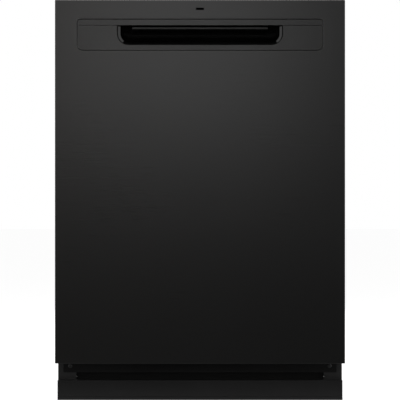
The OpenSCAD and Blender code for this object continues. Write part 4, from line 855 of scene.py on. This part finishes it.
def buildRacks():
    for name in ("lower", "upper"):
        buildBasket(name)
    for name in ("lower", "upper"):
        buildTines(name)

    # The comb that folds down: an axle and plate tines with domed tips.
    r, dark = racks["tine"], racks["darkFinish"]
    low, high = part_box("fold_down_tines")
    x, y, z = high.x - r, low.y + racks["combStart"], low.z + r
    parts = [wire([(x, low.y, z), (x, high.y, z)], dark, Radius=r, Domed=False),
             wire([(x, y, z), (x, y, high.z - r)], dark, Count=racks["combCount"], Step=(0, racks["pitch"], 0),
                  Radius=r)]
    dress(joined("foldDownComb", parts), dark, "fold_down_tines")

    # The cup shelf: a bent frame on its axle, with cross rods.
    low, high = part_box("cup_shelf")
    x0, x1, z, bend = low.x + r, high.x - r, racks["shelfZ"], racks["shelfBend"]
    y0, y1 = low.y + racks["shelfInset"], high.y - racks["shelfInset"]
    (middle, drop), rodZ = racks["shelfMiddle"], z + racks["rodLift"]
    gaps = racks["rodCount"] - 1
    parts = [wire([(x0, low.y, z), (x0, high.y, z)], dark, Radius=r, Domed=False),
             wire([(x0, y0, z), (x1, y0, z), (x1, y1, z), (x0, y1, z)], dark, Bend=bend, Radius=r, Domed=False),
             wire([(x0 + middle, y0, z - drop), (x0 + middle, y1, z - drop)], dark, Radius=r),
             wire([(x0, y0 + bend, rodZ), (x1, y0 + bend, rodZ)], dark, Count=racks["rodCount"],
                  Step=(0, (y1 - y0 - 2 * bend) / gaps, 0), Radius=r - racks["rodThinner"], Domed=False)]
    dress(joined("cupShelf", parts), dark, "cup_shelf")
    eased("cutleryBasket", racks["basketEdge"], "silverware_basket")
    for end in ("Front", "Rear"):
        eased("wheels" + end, racks["wheelEdge"], "wheels_" + end.lower())
    print("racks: baskets, tines, comb, cup shelf and cutlery basket")


# every other piece keeps its form and has its edges eased: the width of the rounding in metres,
# and the finish where it differs from the record's slot
easedEdges = {
    "tub": 0.0004, "tub_gasket": 0.0008, "dispenser": 0.0006, "detergent_cover": 0.0008, "rinse_aid_cap": 0.0005,
    # access_panel takes the darker black: painted shade, for the panel set back under the door
    "door_vent": 0.0004, "hinge_arm_left": 0.0004, "hinge_arm_right": 0.0004, "access_panel": (0.0003, "skirt_painted_shade"),
    "toe_kick": 0.0003, "base_rail_left": (0.0006, "frame_black"), "base_rail_right": (0.0006, "frame_black"),
    "base_cross_rails": (0.0006, "frame_black"),
    "mounting_brackets": 0.0003, "latch_strike": 0.0003, "sump": 0.0008, "filter_plate": 0.0003,
    "fine_filter": 0.0004, "wash_pump": 0.0007, "drain_pump": 0.0006, "inlet_valve": 0.0005, "inlet_hose": 0.0004,
    "heater_ring": (0.0002, "heat_steel"), "junction_box": 0.0005, "spray_riser": 0.0006, "top_spray_arm": 0.001,
    "middle_spray_arm": 0.001, "lower_spray_arm": 0.001, "rail_guides": 0.0003, "upper_rails": 0.0003,
    "rack_feed_tube": 0.0006, "float_cap": 0.0006,
}


def camel(node):
    first, *rest = node.split("_")
    return first + "".join(word.capitalize() for word in rest)


def buildEased():
    for source, look in easedEdges.items():
        width, finish = look if isinstance(look, tuple) else (look, None)
        eased(camel(source) + "Form", width, source, finish)
    print("eased forms:", len(easedEdges))


# the sound blanket: soft edges, and a surface that sinks unevenly between where it is glued
blanket = {"edge": 0.005, "cell": 0.02, "sink": 0.0019, "waves": 5.5, "ripple": 0.0004, "ripples": 24.0}


def buildBlanket():
    obj = easedForm("blanketFelt", blanket["edge"], "insulation_blanket", segments=3)
    work = bmesh.new()
    work.from_mesh(obj.data)
    low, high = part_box("insulation_blanket")
    for axis in range(3):
        across = Vector([float(axis == i) for i in range(3)])
        for k in range(1, int((high[axis] - low[axis]) / blanket["cell"])):
            cutAt = across * (low[axis] + blanket["cell"] * k)
            everything = work.verts[:] + work.edges[:] + work.faces[:]
            bmesh.ops.bisect_plane(work, geom=everything, plane_co=cutAt, plane_no=across, dist=1e-5)
    work.normal_update()
    moves = []
    for vert in work.verts:
        broad, fine = [0.5 + 0.5 * noise.noise(vert.co * blanket[key]) for key in ("waves", "ripples")]
        moves.append(vert.normal * -(blanket["sink"] * broad + blanket["ripple"] * fine))
    for vert, move in zip(work.verts, moves):
        vert.co += move
    work.to_mesh(obj.data)
    work.free()
    dress(smoothed(obj, 50), slots["insulation_blanket"], "insulation_blanket")
    print("blanket:", len(obj.data.polygons), "faces")


# the door springs: a close coil, its rear hook and a front hook at the arm's tail
springs = {"x": 0.2942, "front": (-0.248, 0.130), "rear": (-0.060, 0.075), "coils": 26, "radius": 0.0033,
           "wire": 0.001, "hook": 0.026, "eye": 0.0045, "tuck": 0.42, "shankSteps": 8, "finish": "zinc_steel"}


def helix(turns, radius, start, end, steps=12):
    axis = (Vector(end) - Vector(start)).normalized()
    side = Vector((1.0, 0.0, 0.0)) if abs(axis.x) < 0.9 else Vector((0.0, 1.0, 0.0))
    across = axis.cross(side).normalized()
    side = across.cross(axis).normalized()
    count = int(turns * steps)
    return [tuple(Vector(start).lerp(Vector(end), i / count) + radius * (math.cos(a) * side + math.sin(a) * across))
            for i, a in ((i, 2 * math.pi * i / steps) for i in range(count + 1))]


def hookPath(eye, toward, start, plane):
    loop = [eye + springs["eye"] * (math.cos(a) * toward + math.sin(a) * plane) for a in arc(10, 350, 20)]
    return [tuple(point) for point in [start] + loop]


def springWire(path):
    return wire(path, springs["finish"], Radius=springs["wire"], Sides=8)


def buildSprings():
    fixed, moving, sideways = [], [], Vector((1, 0, 0))
    for sign in (-1, 1):
        front, rear = [Vector((sign * springs["x"], *springs[end])) for end in ("front", "rear")]
        along = (rear - front).normalized()
        coil0, coil1 = front + along * springs["hook"], rear - along * springs["hook"]
        fixed.append(springWire(helix(springs["coils"], springs["radius"], coil0, coil1)))
        fixed.append(springWire(hookPath(rear, -along, coil1, sideways.cross(along))))
        path, steps = hookPath(front, along, coil0, sideways * springs["tuck"]), springs["shankSteps"]
        shank = [tuple(Vector(path[0]).lerp(Vector(path[1]), k / steps)) for k in range(steps)]
        moving.append(springWire(shank + path[1:]))
    dress(joined("springCoils", fixed), springs["finish"], "door_springs")
    hooks = joined("springHooks", moving)
    hooks.data.materials.append(materials[springs["finish"]])
    front, rear = [Vector((0, *springs[end])) for end in ("front", "rear")]
    along = (rear - front).normalized()
    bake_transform(hooks)
    print("springs: coils and hooks")


# the levelling feet: a turned pad on a threaded rod
foot = {"finish": "zinc_steel", "rod": 0.0046, "chamfer": 0.0008, "thread": 0.00038, "pitch": 0.0015,
        "threadFrom": 0.0135, "threadShort": 0.0012,
        "profile": [(0.0158, 0.0), (0.0168, 0.0006), (0.0170, 0.0016), (0.0170, 0.0034), (0.0166, 0.0042),
                    (0.0150, 0.0058), (0.0128, 0.0092), (0.0122, 0.0112), (0.0118, 0.0118), (0.0062, 0.0120),
                    (0.0046, 0.0122)]}


def turned(name, profile, center, steps=48):
    work = bmesh.new()
    rings = [[work.verts.new((center[0] + r * math.cos(a), center[1] + r * math.sin(a), center[2] + z))
              for a in [2 * math.pi * k / steps for k in range(steps)]] for r, z in profile]
    bridge(work, rings)
    for loop in (rings[0], rings[-1]):
        work.faces.new(loop)
    return asObject(work, name)


def buildFeet():
    for node in ["foot_%s_%s" % (end, side) for end in ("front", "rear") for side in ("left", "right")]:
        low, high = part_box(node)
        center, tall = ((low.x + high.x) / 2, (low.y + high.y) / 2, low.z), high.z - low.z
        rod = [(foot["rod"], tall - foot["chamfer"]), (foot["rod"] - foot["chamfer"], tall)]
        pad = turned("footPad", foot["profile"] + rod, center)
        start, end = [(*center[:2], low.z + z) for z in (foot["threadFrom"], tall - foot["threadShort"])]
        path = helix((end[2] - start[2]) / foot["pitch"], foot["rod"], start, end)
        thread = wire(path, foot["finish"], Radius=foot["thread"], Sides=5, Domed=False)
        dress(smoothed(joined(camel(node), [pad, thread]), 30), foot["finish"], node)
    print("feet: four, threaded")


# the screws that show: two in the access panel, one in each worktop tab and two in the latch strike
screwPlaces = {"height": 0.0018, "panelRadius": 0.0042, "panelX": 0.275, "panelZ": 0.072,
               "tabRadius": 0.0038, "tabSheet": 0.0015,
               "tabSpots": ((-0.19, -0.214), (0.19, -0.214), (-0.008, -0.216), (0.008, -0.216))}


def buildScrews():
    panelY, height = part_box("access_panel")[0].y, screwPlaces["height"]
    spots = [(sign * screwPlaces["panelX"], panelY, screwPlaces["panelZ"]) for sign in (-1, 1)]
    screws("panelScrews", spots, (math.pi / 2, 0.0, 0.0), "frame_black",
           Radius=screwPlaces["panelRadius"], Height=height)
    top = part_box("mounting_brackets")[0].z + screwPlaces["tabSheet"]
    spots = [(x, y, top) for x, y in screwPlaces["tabSpots"]]
    screws("tabScrews", spots, (0.0, 0.0, 0.0), "zinc_steel", Radius=screwPlaces["tabRadius"], Height=height)
    print("screws: panel and tabs")


# the inner door: one pressing, its border drawn up to the field in a soft step, open for the dispenser and the vent
liner = {
    "border": 0.022, "sheet": 0.0008, "corner": 0.006, "edge": 0.0022, "foot": 0.0022, "shoulder": 0.0022,
    "draft": 0.0012, "field": (-0.246, 0.175, 0.246, 0.7948, 0.022, 0.022), "beadInset": 0.009, "beadWidth": 0.0022,
    "beadDepth": 0.0004, "dispenser": (-0.1141, 0.5079, 0.1041, 0.5981, 0.0015, 0.0015), "dispenserFloor": 0.0005,
    "vent": (0.168, 0.320), "ventRadius": 0.0271, "ventDepth": 0.0018,
}


def buildLiner():
    low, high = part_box("door_liner")
    top, border, corner, field = high.y, low.y + liner["border"], liner["corner"], liner["field"]
    outside = (low.x, low.z, high.x, high.z, corner, corner)
    edge, step, shoulder = liner["edge"], liner["foot"], liner["shoulder"]
    work = bmesh.new()

    def swept(rect, angles, spot):
        return [ring(work, rect, *spot(1 - math.cos(a), 1 - math.sin(a)), 8) for a in angles]
    rings = [ring(work, outside, 0, low.y, 8)]
    rings += swept(outside, arc(0, 90, 5), lambda c, s: (-edge * c, border - edge * s))
    rings += swept(field, arc(0, 75, 5), lambda c, s: (liner["draft"] + step * s, border + step * c))
    rings += swept(field, arc(15, 90, 5), lambda c, s: (-shoulder * c, top - shoulder * s))
    rings += [ring(work, field, -liner["beadInset"] - liner["beadWidth"] * k / 6,
                   top - liner["beadDepth"] * (1 - math.cos(2 * math.pi * k / 6)) / 2, 8) for k in range(7)]
    bridge(work, rings)
    (x, z), r = liner["vent"], liner["ventRadius"]
    circle = (x - r, z - r, x + r, z + r, r - 1e-5, r - 1e-5)
    mouths = [bridge(work, [ring(work, rect, 0, depth, steps) for depth in (top, bottom)])[0]
              for rect, bottom, steps in ((liner["dispenser"], border + liner["dispenserFloor"], 4),
                                          (circle, top - liner["ventDepth"], 8))]
    fillBetween(work, rings[-1], *mouths)
    obj = asObject(work, "linerPressing")
    if max(obj.data.polygons, key=lambda face: face.area).normal.y < 0:
        obj.data.flip_normals()
    thick = obj.modifiers.new("sheet", "SOLIDIFY")
    thick.thickness, thick.offset = liner["sheet"], -1.0
    dress(smoothed(applied(obj), 40), "stainless", "door_liner")
    print("liner: one pressing")


buildStudio()
groups = buildShaderGroups()
materials = {name: makeFinish(name, look, groups) for name, look in finishLooks.items()}
slots = paintNodes(materials)
trees = buildTrees()

buildDoorSheet()
buildHandle()
buildConsole()
buildLiner()
buildRacks()
buildEased()
buildBlanket()
buildSprings()
buildFeet()
buildScrews()
